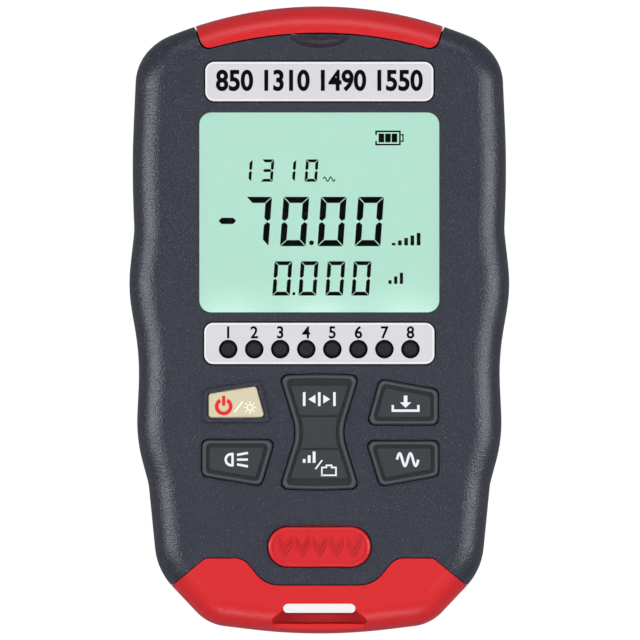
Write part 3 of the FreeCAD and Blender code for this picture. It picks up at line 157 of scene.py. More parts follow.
def soft_box(name, where, size, power):
    """An area light that looks at the middle of the instrument."""
    data = bpy.data.lights.new(name, "AREA")
    data.shape = "RECTANGLE"
    data.size, data.size_y = size
    data.energy = power
    light = bpy.data.objects.new(name, data)
    light.location = where
    aim = -light.location
    light.rotation_euler = aim.to_track_quat("-Z", "Y").to_euler()
    bpy.context.scene.collection.objects.link(light)


soft_box("soft_box_left", (-SIDE_REACH, 0.0, SIDE_RISE), LONG_BOX, SIDE_POWER)
soft_box("soft_box_right", (SIDE_REACH, 0.0, SIDE_RISE), LONG_BOX, SIDE_POWER)
soft_box("soft_box_far", (0.0, END_REACH, END_RISE), WIDE_BOX, FAR_POWER)
soft_box("soft_box_near", (0.0, -END_REACH, END_RISE), WIDE_BOX, NEAR_POWER)
print("lights:", len(bpy.data.lights))

# %% [markdown]
# ## The surround
#
# A white surround fills in the rest. It is dim straight overhead, because every flat face
# mirrors that part of it and would otherwise look hazy.

# %% Surround that is dim overhead
OVERHEAD, AROUND = 0.03, 0.2
DIM_FROM, DIM_TO = 0.62, 0.9

surround = bpy.data.worlds.new("pale_surround")
surround.use_nodes = True
sky = surround.node_tree
fall = add_node(sky, "ShaderNodeMapRange", {"interpolation_type": "SMOOTHSTEP"}, {
    "From Min": DIM_FROM, "From Max": DIM_TO, "To Min": AROUND, "To Max": OVERHEAD})
sky.links.new(split_axes(sky, "Generated")["Z"], fall.inputs["Value"])
sky.links.new(fall.outputs["Result"], sky.nodes["Background"].inputs["Strength"])
sky.nodes["Background"].inputs["Color"].default_value = WHITE
bpy.context.scene.world = surround
bpy.context.scene.view_settings.view_transform = "Standard"
print("surround: %.2f overhead, %.2f around" % (OVERHEAD, AROUND))

# %% [markdown]
# ## The floor
#
# The floor is a pale sheet that glows for the camera like a light table, while the object itself
# sees only a dull grey sheet, so that its sides keep their depth. The glow is emission that is
# multiplied by whether the ray comes from the camera.

# %% Floor that glows for the camera
FLOOR_HALF, FLOOR_GLOW = 3, 0.85

floor_mesh = bpy.data.meshes.new("pale_floor")
floor_mesh.from_pydata([(FLOOR_HALF * x, FLOOR_HALF * y, 0)
                        for x, y in ((-1, -1), (1, -1), (1, 1), (-1, 1))], [], [(0, 1, 2, 3)])
pale_floor = bpy.data.objects.new("pale_floor", floor_mesh)
pale_floor.data.materials.append(shader("floor_paper", {
    "Base Color": tint(140, 140, 142), "Roughness": 0.9, "Specular IOR Level": 0.0,
    "Emission Color": WHITE}))
glow = pale_floor.data.materials[0].node_tree
seen = add_node(glow, "ShaderNodeLightPath")
share = arithmetic(glow, "MULTIPLY", FLOOR_GLOW)
glow.links.new(seen.outputs["Is Camera Ray"], share.inputs[0])
glow.links.new(share.outputs[0], glow.nodes["Principled BSDF"].inputs["Emission Strength"])
bpy.context.scene.collection.objects.link(pale_floor)
print("floor: %d m wide" % (2 * FLOOR_HALF))

# %% [markdown]
# ## Grain that several finishes share
#
# Moulded housings take an etched grain from the steel mould: shallow cells about a third of a
# millimetre across. One node group makes that grain as a height, and the small bright specks
# where a cell's edge catches the light. It is built once and placed in each material with its
# own values.

# %% Node group for the grain
FLOAT, COLOUR = "NodeSocketFloat", "NodeSocketColor"
SPECKS_PER_CELL, SPECK_SHARPNESS = 1.7, 9.0


def new_group(name, inputs, outputs):
    """A shader node group with float or colour sockets, and its two ends."""
    group = bpy.data.node_groups.new(name, "ShaderNodeTree")
    for label, kind, value in inputs:
        socket = group.interface.new_socket(label, in_out="INPUT", socket_type=kind)
        socket.default_value = value
    for label, kind in outputs:
        group.interface.new_socket(label, in_out="OUTPUT", socket_type=kind)
    return group, group.nodes.new("NodeGroupInput"), group.nodes.new("NodeGroupOutput")


def make_grain_group():
    """Cells and noise multiplied for the height, and sparse noise peaks for the specks."""
    group, given, put = new_group("moulded_grain", [
        ("Cells per Metre", FLOAT, 3000.0), ("Speck Level", FLOAT, 0.7)],
        [("Height", FLOAT), ("Specks", FLOAT)])
    link = group.links.new
    place = add_node(group, "ShaderNodeTexCoord")
    cells = add_node(group, "ShaderNodeTexVoronoi", {"feature": "SMOOTH_F1"}, {"Smoothness": 0.6})
    fine = add_node(group, "ShaderNodeTexNoise", None, {"Detail": 3.0, "Roughness": 0.6})
    few = add_node(group, "ShaderNodeTexNoise", None, {"Detail": 1.0})
    for texture in (cells, fine, few):
        link(place.outputs["Object"], texture.inputs["Vector"])
    for texture in (cells, fine):
        link(given.outputs["Cells per Metre"], texture.inputs["Scale"])
    both = arithmetic(group, "MULTIPLY")
    link(cells.outputs["Distance"], both.inputs[0])
    link(fine.outputs["Fac"], both.inputs[1])
    link(both.outputs[0], put.inputs["Height"])
    faster = arithmetic(group, "MULTIPLY", SPECKS_PER_CELL)
    link(given.outputs["Cells per Metre"], faster.inputs[0])
    link(faster.outputs[0], few.inputs["Scale"])
    over = arithmetic(group, "SUBTRACT", clamp=True)
    link(few.outputs["Fac"], over.inputs[0])
    link(given.outputs["Speck Level"], over.inputs[1])
    sharp = arithmetic(group, "MULTIPLY", SPECK_SHARPNESS, clamp=True)
    link(over.outputs[0], sharp.inputs[0])
    link(sharp.outputs[0], put.inputs["Specks"])
    return group


GRAIN = make_grain_group()
print("group:", GRAIN.name)

# %% [markdown]
# ## Mottling that several finishes share
#
# No real moulding has one flat colour. A second group blends two near colours in soft patches,
# and lays a third colour over them where the mask of specks is.

# %% Node group for the mottling
def make_mottle_group():
    """Two colours in soft patches, with specks of a third."""
    group, given, put = new_group("soft_mottle", [
        ("Main", COLOUR, (0.5, 0.5, 0.5, 1)), ("Other", COLOUR, (0.5, 0.5, 0.5, 1)),
        ("Patches per Metre", FLOAT, 60.0), ("Mask", FLOAT, 0.0),
        ("Speck Colour", COLOUR, WHITE)], [("Colour", COLOUR)])
    link = group.links.new
    place = add_node(group, "ShaderNodeTexCoord")
    patches = add_node(group, "ShaderNodeTexNoise", None, {"Detail": 4.0})
    link(place.outputs["Object"], patches.inputs["Vector"])
    link(given.outputs["Patches per Metre"], patches.inputs["Scale"])
    blend = add_node(group, "ShaderNodeMix", {"data_type": "RGBA"})
    link(patches.outputs["Fac"], blend.inputs[MIX_SHARE])
    link(given.outputs["Main"], blend.inputs[MIX_FIRST])
    link(given.outputs["Other"], blend.inputs[MIX_SECOND])
    speck = add_node(group, "ShaderNodeMix", {"data_type": "RGBA"})
    link(given.outputs["Mask"], speck.inputs[MIX_SHARE])
    link(blend.outputs[MIX_RESULT], speck.inputs[MIX_FIRST])
    link(given.outputs["Speck Colour"], speck.inputs[MIX_SECOND])
    link(speck.outputs[MIX_RESULT], put.inputs["Colour"])
    return group


MOTTLE = make_mottle_group()
print("group:", MOTTLE.name)

# %% [markdown]
# ## Moulded plastics
#
# Each plastic is the same recipe with other values: a main colour and a slightly different one
# for the mottling, how rough the surface is, and the size and depth of the grain. Only the case
# and the silver plates have specks. The case has a strong grain, the red parts a finer and
# shallower one, and the rubber keys almost none.

# %% Plastics
NO_SPECKS = 1.0


def add_grain_bump(material, cells, depth, speck_level=None):
    """Puts the grain into a material's normal, and gives the grain back."""
    tree = material.node_tree
    values = {"Cells per Metre": cells}
    if speck_level is not None:
        values["Speck Level"] = speck_level
    grain = add_node(tree, "ShaderNodeGroup", {"node_tree": GRAIN}, values)
    bump = add_node(tree, "ShaderNodeBump", None, {"Strength": 1.0, "Distance": depth * MM})
    tree.links.new(grain.outputs["Height"], bump.inputs["Height"])
    tree.links.new(bump.outputs["Normal"], tree.nodes["Principled BSDF"].inputs["Normal"])
    return grain


def moulded(name, main, other, rough, cells, depth, speck_level=NO_SPECKS,
            speck=(150, 152, 160), patches=60.0):
    """A moulded plastic with grain, mottled colour and a few bright specks."""
    material = shader(name, {"Roughness": rough})
    tree = material.node_tree
    grain = add_grain_bump(material, cells, depth, speck_level)
    mottle = add_node(tree, "ShaderNodeGroup", {"node_tree": MOTTLE},
                      {"Main": tint(*main), "Other": tint(*other),
                       "Patches per Metre": patches, "Speck Colour": tint(*speck)})
    tree.links.new(grain.outputs["Specks"], mottle.inputs["Mask"])
    tree.links.new(mottle.outputs["Colour"], tree.nodes["Principled BSDF"].inputs["Base Color"])
    return material


PLASTICS = {
    "case_plastic": ((41, 44, 56), (47, 50, 62), 0.32, 2900, 0.085, 0.665),
    "red_plastic": ((207, 31, 37), (215, 37, 43), 0.33, 2800, 0.05),
    "key_plastic": ((74, 78, 84), (80, 84, 90), 0.33, 5200, 0.012),
    "power_key_plastic": ((208, 199, 168), (214, 206, 177), 0.3, 5200, 0.01),
    "black_plastic": ((24, 25, 28), (30, 31, 34), 0.45, 3600, 0.03),
    "black_rubber": ((28, 28, 30), (36, 36, 38), 0.7, 4200, 0.02),
    "chip_plastic": ((26, 26, 31), (31, 31, 36), 0.35, 4600, 0.01),
    "board_laminate": ((18, 84, 50), (26, 98, 60), 0.4, 2600, 0.02),
    "battery_jacket": ((46, 92, 140), (52, 100, 150), 0.32, 900, 0.01),
    "light_guide": ((232, 238, 236), (240, 244, 242), 0.3, 1800, 0.01),
    "silver_plate": ((207, 205, 211), (214, 212, 217), 0.38, 6200, 0.02, 0.66,
                     (242, 240, 246), 300.0),
}
FINISH = {name: moulded(name, *recipe) for name, recipe in PLASTICS.items()}
print("plastics:", len(FINISH))

# %% [markdown]
# ## Rims and grooves of the keys
#
# The rubber keys keep their full colour only along the tops of their rims, a painted highlight,
# and are darker on their panels and darkest in the groove inside the rims, a painted shade. Both
# follow the height on the key, which is measured from the piece itself, so that the painted light
# and shade go down with a pressed key.

# %% Rims and grooves of the keys
KEY_RELIEF = 0.6
KEY_PAINTED_LIGHT_STOPS = ((0.2, 0.3), (0.45, 0.52), (0.82, 0.52), (0.93, 1.0))


def paint_light_and_shade_by_height(material, low, high, stops):
    """Paints light and shade: darkens a colour by steps between two heights in millimetres."""
    tree = material.node_tree
    base = tree.nodes["Principled BSDF"].inputs["Base Color"]
    plain = base.links[0].from_socket
    span = add_node(tree, "ShaderNodeMapRange", None, {
        "From Min": low * MM, "From Max": high * MM})
    steps = add_node(tree, "ShaderNodeValToRGB")
    while len(steps.color_ramp.elements) < len(stops):
        steps.color_ramp.elements.new(0.5)
    for element, (share, level) in zip(steps.color_ramp.elements, stops):
        element.position, element.color = share, (level, level, level, 1)
    painted_light_and_shade = add_node(tree, "ShaderNodeMix", {"data_type": "RGBA", "blend_type": "MULTIPLY"},
                      {MIX_SHARE: 1.0})
    tree.links.new(split_axes(tree, "Object")["Z"], span.inputs["Value"])
    tree.links.new(span.outputs["Result"], steps.inputs["Fac"])
    tree.links.new(plain, painted_light_and_shade.inputs[MIX_FIRST])
    tree.links.new(steps.outputs["Color"], painted_light_and_shade.inputs[MIX_SECOND])
    tree.links.new(painted_light_and_shade.outputs[MIX_RESULT], base)


KEY_TOP = top_of("save_key")
# Painted highlight on the key rims, painted shade on the panels and in the grooves.
paint_light_and_shade_by_height(FINISH["key_plastic"], KEY_TOP - KEY_RELIEF, KEY_TOP, KEY_PAINTED_LIGHT_STOPS)
print("key rims at %.2f mm" % KEY_TOP)

# %% [markdown]
# ## Metals
#
# Springs and screws are bright steel, the optical receptacle is nickel plated, and the socket
# contacts are gold plated. Handling leaves such metals a little duller in some places than in
# others, so the grain also moves their roughness.

# %% Metals
DULLEST, BRIGHTEST = 1.3, 0.85


def metal(name, colour, rough, cells, depth):
    """A metal whose polish varies a little over its surface."""
    material = shader(name, {"Base Color": tint(*colour), "Metallic": 1.0, "Roughness": rough})
    tree = material.node_tree
    grain = add_grain_bump(material, cells, depth)
    spread = add_node(tree, "ShaderNodeMapRange", None, {"To Min": rough * BRIGHTEST,
                                                         "To Max": rough * DULLEST})
    tree.links.new(grain.outputs["Height"], spread.inputs["Value"])
    tree.links.new(spread.outputs["Result"], tree.nodes["Principled BSDF"].inputs["Roughness"])
    return material


METALS = {
    "steel": ((190, 190, 194), 0.28, 2400, 0.004),
    "nickel_brass": ((205, 202, 196), 0.2, 2400, 0.003),
    "gold_contacts": ((230, 182, 96), 0.22, 2400, 0.002),
}
FINISH.update((name, metal(name, *recipe)) for name, recipe in METALS.items())
print("metals:", len(METALS))

# %% [markdown]
# ## Clear parts
#
# The window is clear plastic: a little of the light is mirrored and the rest goes through. The
# indicator lamps are unlit, and their dark lenses let some light in.

# %% Window and lamp lenses
FINISH["window_plastic"] = shader("window_plastic", {
    "Base Color": WHITE, "Roughness": 0.02, "IOR": 1.49, "Transmission Weight": 1.0})
FINISH["lamp_lens"] = shader("lamp_lens", {
    "Base Color": tint(24, 24, 29), "Roughness": 0.4, "IOR": 1.4, "Transmission Weight": 0.4})
print("finishes:", len(FINISH))

# %% [markdown]
# ## The lit display glass
#
# The display is lit from behind by lamps along its lower edge. The glass therefore glows in an
# even mint colour that grows a little brighter near the bottom, in three soft pools. The glow is
# emission whose colour is worked out from the height on the glass.

# %% Glowing display glass
GLOW_START, GLOW_END, GLOW_STEEPNESS = 1.5, 9, 2.2
POOL_PITCH, POOL_LOW, POOL_HIGH = 0.017, 0.35, 0.85


def make_lcd_glass():
    """Mint emission, lifted towards the lower edge in a row of pools."""
    material = shader("lcd_glass", {"Base Color": tint(60, 74, 68), "Roughness": 0.3,
                                    "Emission Strength": 1.0})
    tree = material.node_tree
    link = tree.links.new
    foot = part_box("display_window")[0][1]
    axes = split_axes(tree, "Object")
    climb = add_node(tree, "ShaderNodeMapRange", None, {
        "From Min": foot + GLOW_START * MM, "From Max": foot + GLOW_END * MM,
        "To Min": 1.0, "To Max": 0.0})
    link(axes["Y"], climb.inputs["Value"])
    steep = arithmetic(tree, "POWER", GLOW_STEEPNESS)
    link(climb.outputs["Result"], steep.inputs[0])
    waves = arithmetic(tree, "MULTIPLY", 2 * math.pi / POOL_PITCH)
    link(axes["X"], waves.inputs[0])
    pools = arithmetic(tree, "COSINE")
    link(waves.outputs[0], pools.inputs[0])
    lift = add_node(tree, "ShaderNodeMapRange", None, {"From Min": -1.0, "From Max": 1.0,
                                                       "To Min": POOL_LOW, "To Max": POOL_HIGH})
    link(pools.outputs[0], lift.inputs["Value"])
    glow = arithmetic(tree, "MULTIPLY", clamp=True)
    link(steep.outputs[0], glow.inputs[0])
    link(lift.outputs["Result"], glow.inputs[1])
    mix = add_node(tree, "ShaderNodeMix", {"data_type": "RGBA"},
                   {MIX_FIRST: tint(182, 229, 211), MIX_SECOND: tint(214, 255, 240)})
    link(glow.outputs[0], mix.inputs[MIX_SHARE])
    link(mix.outputs[MIX_RESULT], tree.nodes["Principled BSDF"].inputs["Emission Color"])
    return material


FINISH["lcd_glass"] = make_lcd_glass()
print("display glass:", FINISH["lcd_glass"].name)

# %% [markdown]
# ## Dress every solid piece
#
# Each node carries the name of a finish from the part's own record. Reading it there keeps the
# scene in step with the part.

# %% Give each node its finish
for node, piece in NODES.items():
    slots = piece.data.materials
    given = slots[0].name.split(".")[0]
    for number in range(len(slots)):
        slots[number] = FINISH[given]
print("dressed:", len(NODES))

# %% [markdown]
# ## Flat printed shapes
#
# Legends, numbers and display segments are very thin layers. A flat curve that is filled and
# given a little thickness makes each of them as a closed solid, holes and all: a shape inside
# another one becomes a hole. The curve is then turned into a mesh.

# %% From a flat curve to a thin solid
PRINT, LIFT = 0.02, 0.002


def into_mesh(curve_object):
    """The evaluated mesh of a curve or text object, as an object of its own."""
    bpy.context.scene.collection.objects.link(curve_object)
    bpy.context.view_layer.update()
    settled = curve_object.evaluated_get(bpy.context.evaluated_depsgraph_get())
    mesh = bpy.data.meshes.new_from_object(settled)
    name = curve_object.name
    bpy.data.objects.remove(curve_object)
    piece = bpy.data.objects.new(name, mesh)
    piece.data.name = name
    bpy.context.scene.collection.objects.link(piece)
    return piece


def settle(piece, body, finish):
    """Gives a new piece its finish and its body."""
    piece.data.materials.clear()
    piece.data.materials.append(finish)
    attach(piece, body)
    print("made", piece.name, "with", len(piece.data.polygons), "faces")


def printed(name, outlines, level, thick, body, finish):
    """A thin filled layer from closed outlines in millimetres, its underside at a level."""
    data = bpy.data.curves.new(name, "CURVE")
    data.dimensions, data.fill_mode = "2D", "BOTH"
    data.extrude = thick / 2 * MM
    for outline in outlines:
        spline = data.splines.new("POLY")
        spline.points.add(len(outline) - 1)
        for point, (x, y) in zip(spline.points, outline):
            point.co = (x * MM, y * MM, 0, 1)
        spline.use_cyclic_u = True
    piece = into_mesh(bpy.data.objects.new(name, data))
    for vertex in piece.data.vertices:
        vertex.co.z += (level + thick / 2) * MM
    settle(piece, body, finish)


print("a print is %.2f mm thick" % PRINT)

# %% [markdown]
# ## Outlines for signs
#
# Every sign is put together from a few plain outlines: circles, parts of rings, rectangles with
# sharp or rounded corners, rows of rising bars and waves. Each helper returns one closed list of
# points, which the filled curve above takes.

# %% Round and square outlines
def ring(x, y, radius, steps=40, start=0.0, sweep=360.0):
    """Points round a circle, or along a part of it, in degrees."""
    count = steps if sweep < 360 else steps - 1
    return [(x + radius * math.cos(math.radians(start + sweep * i / steps)),
             y + radius * math.sin(math.radians(start + sweep * i / steps)))
            for i in range(count + 1)]


def band(x, y, outer, inner, start, sweep):
    """Part of a flat ring."""
    return (ring(x, y, outer, start=start, sweep=sweep)
            + ring(x, y, inner, start=start, sweep=sweep)[::-1])


def box(x, y, width, height):
    """A rectangle about its middle."""
    return [(x - width / 2, y - height / 2), (x + width / 2, y - height / 2),
            (x + width / 2, y + height / 2), (x - width / 2, y + height / 2)]


def rounded(x, y, width, height, radius):
    """A rectangle with rounded corners about its middle."""
    points = []
    for corner, (side, up) in enumerate(((1, 1), (-1, 1), (-1, -1), (1, -1))):
        points += ring(x + side * (width / 2 - radius), y + up * (height / 2 - radius), radius,
                       steps=8, start=90 * corner, sweep=90)
    return points


def rising_bars(x, foot, count, pitch, width, step):
    """Bars side by side, each one step taller than the last."""
    return [box(x + pitch * i, foot + step / 2 * (i + 1), width, step * (i + 1))
            for i in range(count)]


print("points in a circle:", len(ring(0, 0, 1)))

# %% [markdown]
# ## Lines of a given width
#
# A drawn line becomes a closed outline when each of its points is moved out to both sides. At a
# corner the two sides meet in a mitre, which is held back where the corner is very sharp.

# %% Open and closed lines
MITRE_LIMIT, CLOSED_MITRE_LIMIT = 0.3, 0.35


def direction(start, end):
    """The unit vector from one point to another."""
    across, along = end[0] - start[0], end[1] - start[1]
    length = math.hypot(across, along)
    return (across / length, along / length)


def both_sides(here, first, second, width, limit):
    """The places left and right of a point between two directions of a line."""
    side = (-(first[1] + second[1]), first[0] + second[0])
    length = math.hypot(*side)
    side = (side[0] / length, side[1] / length)
    reach = width / 2 / max(limit, -first[1] * side[0] + first[0] * side[1])
    return [(here[0] + way * side[0] * reach, here[1] + way * side[1] * reach)
            for way in (1, -1)]


def ribbon(points, width):
    """The outline of an open line."""
    runs = [direction(start, end) for start, end in zip(points, points[1:])]
    places = [both_sides(here, first, second, width, MITRE_LIMIT)
              for here, first, second in zip(points, runs[:1] + runs, runs + runs[-1:])]
    return [left for left, right in places] + [right for left, right in places[::-1]]


def closed_ribbon(points, width):
    """The outer and the inner outline of a closed line."""
    runs = [direction(start, end) for start, end in zip(points, points[1:] + points[:1])]
    places = [both_sides(here, first, second, width, CLOSED_MITRE_LIMIT)
              for here, first, second in zip(points, runs[-1:] + runs, runs)]
    return [list(side) for side in zip(*places)]


def wave(x, y, length, tall, steps, width):
    """A line of two full waves."""
    return ribbon([(x + length * i / steps, y + tall * math.sin(math.tau * i / (steps / 2)))
                   for i in range(steps + 1)], width)


print("corners in a bent line:", len(ribbon([(0, 0), (1, 0), (1, 1)], 0.2)))

# %% [markdown]
# ## Display digits
#
# Display digits are seven bars with slanted ends and thin light gaps between them, leaning a
# little to the right. One function makes any digit from its size, and a reading is a row of such
# digits.

# %% Seven-bar digits
BARS = {0: "abcdef", 1: "bc", 3: "abcdg", 7: "abc"}
LEAN = math.tan(math.radians(4.2))
TIP, KNEE = 0.55, 0.6


def digit(value, right, foot, width, height, stroke, gap):
    """The bars of one digit whose top right corner stands at the given place."""
    half, middle = stroke / 2, height / 2
    cut = gap / 2
    shapes = {
        "a": [(cut, height), (width - cut, height), (width - stroke - cut, height - stroke),
              (stroke + cut, height - stroke)],
        "d": [(stroke + cut, stroke), (width - stroke - cut, stroke), (width - cut, 0), (cut, 0)],
        "g": [(stroke * TIP + cut, middle), (stroke + cut, middle + half),
              (width - stroke - cut, middle + half), (width - stroke * TIP - cut, middle),
              (width - stroke - cut, middle - half), (stroke + cut, middle - half)],
        "f": [(0, height - cut), (stroke, height - stroke - cut), (stroke, middle + half + cut),
              (half, middle + cut), (0, middle + half * KNEE + cut)],
        "e": [(0, cut), (stroke, stroke + cut), (stroke, middle - half - cut),
              (half, middle - cut), (0, middle - half * KNEE - cut)],
    }
    shapes["b"] = [(width - x, y) for x, y in shapes["f"]]
    shapes["c"] = [(width - x, y) for x, y in shapes["e"]]
    left = right - width - height * LEAN
    return [[(left + x + y * LEAN, foot + y) for x, y in shapes[bar]] for bar in BARS[value]]


def reading(values, rights, foot, width, height, stroke, gap):
    """A row of digits, each with its own right edge."""
    return [bar for value, right in zip(values, rights)
            for bar in digit(value, right, foot, width, height, stroke, gap)]


print("bars in a zero:", len(digit(0, 0, 0, 3, 6, 1, 0.2)))

# %% [markdown]
# ## What the display shows
#
# Three readings stand one above the other, with their decimal points and a minus sign. Beside
# them stand small plain signs instead of words: a battery, a wave for the wavelength, and rising
# bars for the level.

# %% Readings and signs of the display
LCD_FACE, LCD_LIFT = top_of("lcd_panel"), 0.005
INK = moulded("display_ink", (3, 6, 6), (5, 9, 8), 0.18, 5000, 0.002)

segments = reading((1, 3, 1, 0), (-12.8, -8.65, -4.4, -0.14), 26.6, 2.4, 4.3, 0.56, 0.16)
segments += reading((7, 0, 0, 0), (-9.1, -1.93, 5.27, 12.44), 14.2, 4.95, 9.5, 1.18, 0.2)
segments += reading((0, 0, 0, 0), (-5.18, -0.14, 5.02, 10.05), 4.7, 3.4, 6.6, 0.74, 0.16)
decimal_points = [ring(-1.5, 14.85, 0.47), ring(-4.9, 5.05, 0.31)]
minus_sign = [(-19.4, 19.07), (-18.8, 19.68), (-16.6, 19.68), (-16.0, 19.07),
              (-16.6, 18.46), (-18.8, 18.46)]
battery_sign = [ribbon([(10.92, 34.45), (10.92, 33.75), (15.5, 33.75), (15.5, 36.29),
                        (10.92, 36.29), (10.92, 35.6)], 0.32),
                ribbon([(15.68, 35.64), (16.1, 35.64), (16.1, 34.4), (15.68, 34.4)], 0.26)]
battery_sign += [box(x, 35.02, 1.08, 1.7) for x in (11.95, 13.2, 14.45)]
level_sign = rising_bars(14.3, 14.35, 5, 1.2, 0.72, 0.48)
small_level_sign = rising_bars(13.6, 6.95, 3, 1.1, 0.62, 0.72)
wave_sign = wave(0.75, 27.1, 2.3, 0.42, 24, 0.2)
printed("display_segments", segments + decimal_points + [minus_sign] + battery_sign + level_sign
        + small_level_sign + [wave_sign], LCD_FACE + LCD_LIFT, PRINT, "meter", INK)

# %% [markdown]
# ## Borders of the two silver plates
#
# Each plate has a fine pale border line, and a thin black line shows all round it where it is let
# into the case: partly adhesive, partly a painted shade of the gap. Both are measured from the
# plate itself.

# %% Plate borders, and black lines of adhesive and painted shade
PLATE_FACE = top_of("title_plate")
BORDER = moulded("plate_border", (232, 231, 235), (238, 237, 240), 0.35, 6200, 0.01)
BLACK_PRINT = moulded("black_print", (6, 6, 8), (10, 10, 12), 0.18, 5200, 0.002)
JOINT_GAP, ADHESIVE_AND_SHADE_LINE, ADHESIVE_AND_SHADE_THICK, ADHESIVE_AND_SHADE_RADIUS = 0.12, 0.16, 0.006, 1.75
BORDER_INSET, BORDER_WIDE, BORDER_RADIUS = 0.05, 0.36, 1.7


def around(node, radius, grown):
    """A rounded outline that stands out from a node's sides by half the given growth."""
    low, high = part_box(node)
    x, y = (low[0] + high[0]) / 2 / MM, (low[1] + high[1]) / 2 / MM
    return rounded(x, y, (high[0] - low[0]) / MM + grown, (high[1] - low[1]) / MM + grown, radius)


for plate in ("title_plate", "indicator_plate"):
    inside, outside = 2 * JOINT_GAP, 2 * (JOINT_GAP + ADHESIVE_AND_SHADE_LINE)
    # A black line on the case round the plate: adhesive, and a painted shade of the gap.
    printed(plate + "_joint_adhesive_and_shade", [around(plate, ADHESIVE_AND_SHADE_RADIUS + outside / 2, outside),
                               around(plate, ADHESIVE_AND_SHADE_RADIUS + inside / 2, inside)],
            CASE_FACE + LIFT, ADHESIVE_AND_SHADE_THICK, "meter", BLACK_PRINT)
    printed(plate + "_border", [around(plate, BORDER_RADIUS, -2 * BORDER_INSET),
                                around(plate, BORDER_RADIUS - BORDER_WIDE + BORDER_INSET,
                                       -2 * BORDER_WIDE)],
            PLATE_FACE + LIFT, PRINT, "meter", BORDER)

# %% [markdown]
# ## Numbers on the two silver plates
#
# The upper plate carries plain numbers in a heavy face, the lower plate the numbers of its eight
# lamps. Round each lamp a black ring lies in the plate's hole, below the plate's face: a painted
# shade of that recess. The built-in typeface is thickened by a small outward offset, because a
# plate stamp has heavy strokes.

# %% Plate numbers, and painted shade rings round the lamps
DIGIT_SHARE = 0.72
LAMPS, LAMP_PITCH, FIRST_LAMP, LAMP_ROW, NUMBER_ROW = 8, 5, -17.5, -5.6, -2.5
RING_OUTER, RING_INNER, RING_DROP = 1.79, 1.52, 0.42


def numbers(name, text, x, y, height, bold, squeeze):
    """Plain numbers on a plate, centred on a place, with a given height of digit."""
    data = bpy.data.curves.new(name, "FONT")
    data.body = text
    data.align_x, data.align_y = "CENTER", "CENTER"
    data.size = height / DIGIT_SHARE * MM
    data.offset = bold * MM
    data.extrude = PRINT / 2 * MM
    data.resolution_u = 6
    piece = into_mesh(bpy.data.objects.new(name, data))
    for vertex in piece.data.vertices:
        vertex.co.x = vertex.co.x * squeeze + x * MM
        vertex.co.y += y * MM
        vertex.co.z += (PLATE_FACE + PRINT / 2 + LIFT) * MM
    settle(piece, "meter", BLACK_PRINT)


numbers("title_plate_numbers", "850 1310 1490 1550", 0, 45.8, 3.9, 0.17, 0.88)
lamp_hole_shade_rings = []
for lamp in range(LAMPS):
    x = FIRST_LAMP + LAMP_PITCH * lamp
    lamp_hole_shade_rings += [ring(x, LAMP_ROW, radius) for radius in (RING_OUTER, RING_INNER)]
    numbers("lamp_number_%d" % (lamp + 1), str(lamp + 1), x, NUMBER_ROW, 2.3, 0.07, 0.95)
# A black ring in the hole round each lamp: a painted shade of the recess.
printed("lamp_hole_shade_rings", lamp_hole_shade_rings, PLATE_FACE - RING_DROP, PRINT, "meter",
        BLACK_PRINT)

# %% [markdown]
# ## Signs on the cream key
#
# The keys carry small plain signs. The cream key has a red power sign, a stroke and a small white
# sun. Each sign rides on its key, so that it goes down with it.

# %% Power and light signs
PANEL_FACE = CASE_FACE + 0.58
WHITE_PRINT = moulded("white_print", (226, 229, 236), (236, 238, 243), 0.45, 5200, 0.01)
RED_PRINT = moulded("red_print", (226, 20, 30), (232, 28, 36), 0.4, 5200, 0.008)
CREAM_PRINT = moulded("cream_white_print", (250, 248, 240), (254, 252, 246), 0.4, 5200, 0.008)
POWER_X, POWER_Y, SUN_X, SUN_Y = -18.35, -16.6, -13.3, -16.8


def key_sign(name, outlines, body, finish=WHITE_PRINT):
    """A print on the panel of a key."""
    printed(name, outlines, PANEL_FACE, PRINT, body, finish)


key_sign("power_sign", [band(POWER_X, POWER_Y, 1.7, 0.98, 118, 304),
                        box(POWER_X, -15.5, 0.62, 1.9)],
         "power", RED_PRINT)
sun = [ring(SUN_X, SUN_Y, 0.66), ring(SUN_X, SUN_Y, 0.44)]
for ray in range(8):
    turn = math.radians(45 * ray)
    sun.append(ribbon([(SUN_X + r * math.cos(turn), SUN_Y + r * math.sin(turn))
                       for r in (0.82, 1.2)], 0.2))
stroke = ribbon([(-16.3, -17.7), (-14.7, -15.65)], 0.28)
key_sign("light_sign", sun + [stroke], "power", CREAM_PRINT)

# %% [markdown]
# ## Signs on the dark side keys
#
# These three are printed in white: an arrow into a tray for saving, a lamp with three rays, and
# a wave for the wavelength.

# %% Save, lamp and wavelength signs
LOW_ROW, LINE = -26.8, 0.48

save_arrow = [(15.45, -15.8), (16.2, -15.8), (16.2, -14.5), (16.9, -14.5), (16.9, -15.8),
              (17.65, -15.8), (16.55, -16.85)]
save_tray = ribbon([(14.1, -16.3), (14.1, -17.4), (19.0, -17.4), (19.0, -16.3)], LINE)
key_sign("save_sign", [save_arrow, save_tray], "save")

lamp_sign = [band(-16.9, LOW_ROW, 1.3, 0.82, 90, 180), box(-16.66, LOW_ROW, 0.46, 2.6)]
lamp_sign += [ribbon([(-15.8, LOW_ROW + 0.9 * i), (-13.7, LOW_ROW + 1.3 * i)], 0.46)
              for i in (-1, 0, 1)]
key_sign("torch_sign", lamp_sign, "torch")
key_sign("wavelength_sign", [wave(14.9, LOW_ROW, 4.1, 1.2, 40, LINE)], "wavelength")

# %% [markdown]
# ## The hourglass key
#
# The hourglass key rocks, so it has one sign at each end: a level mark above, and rising bars, a
# stroke and a socket below. A thin insert lies across its waist and meets both panels in a fine
# line.

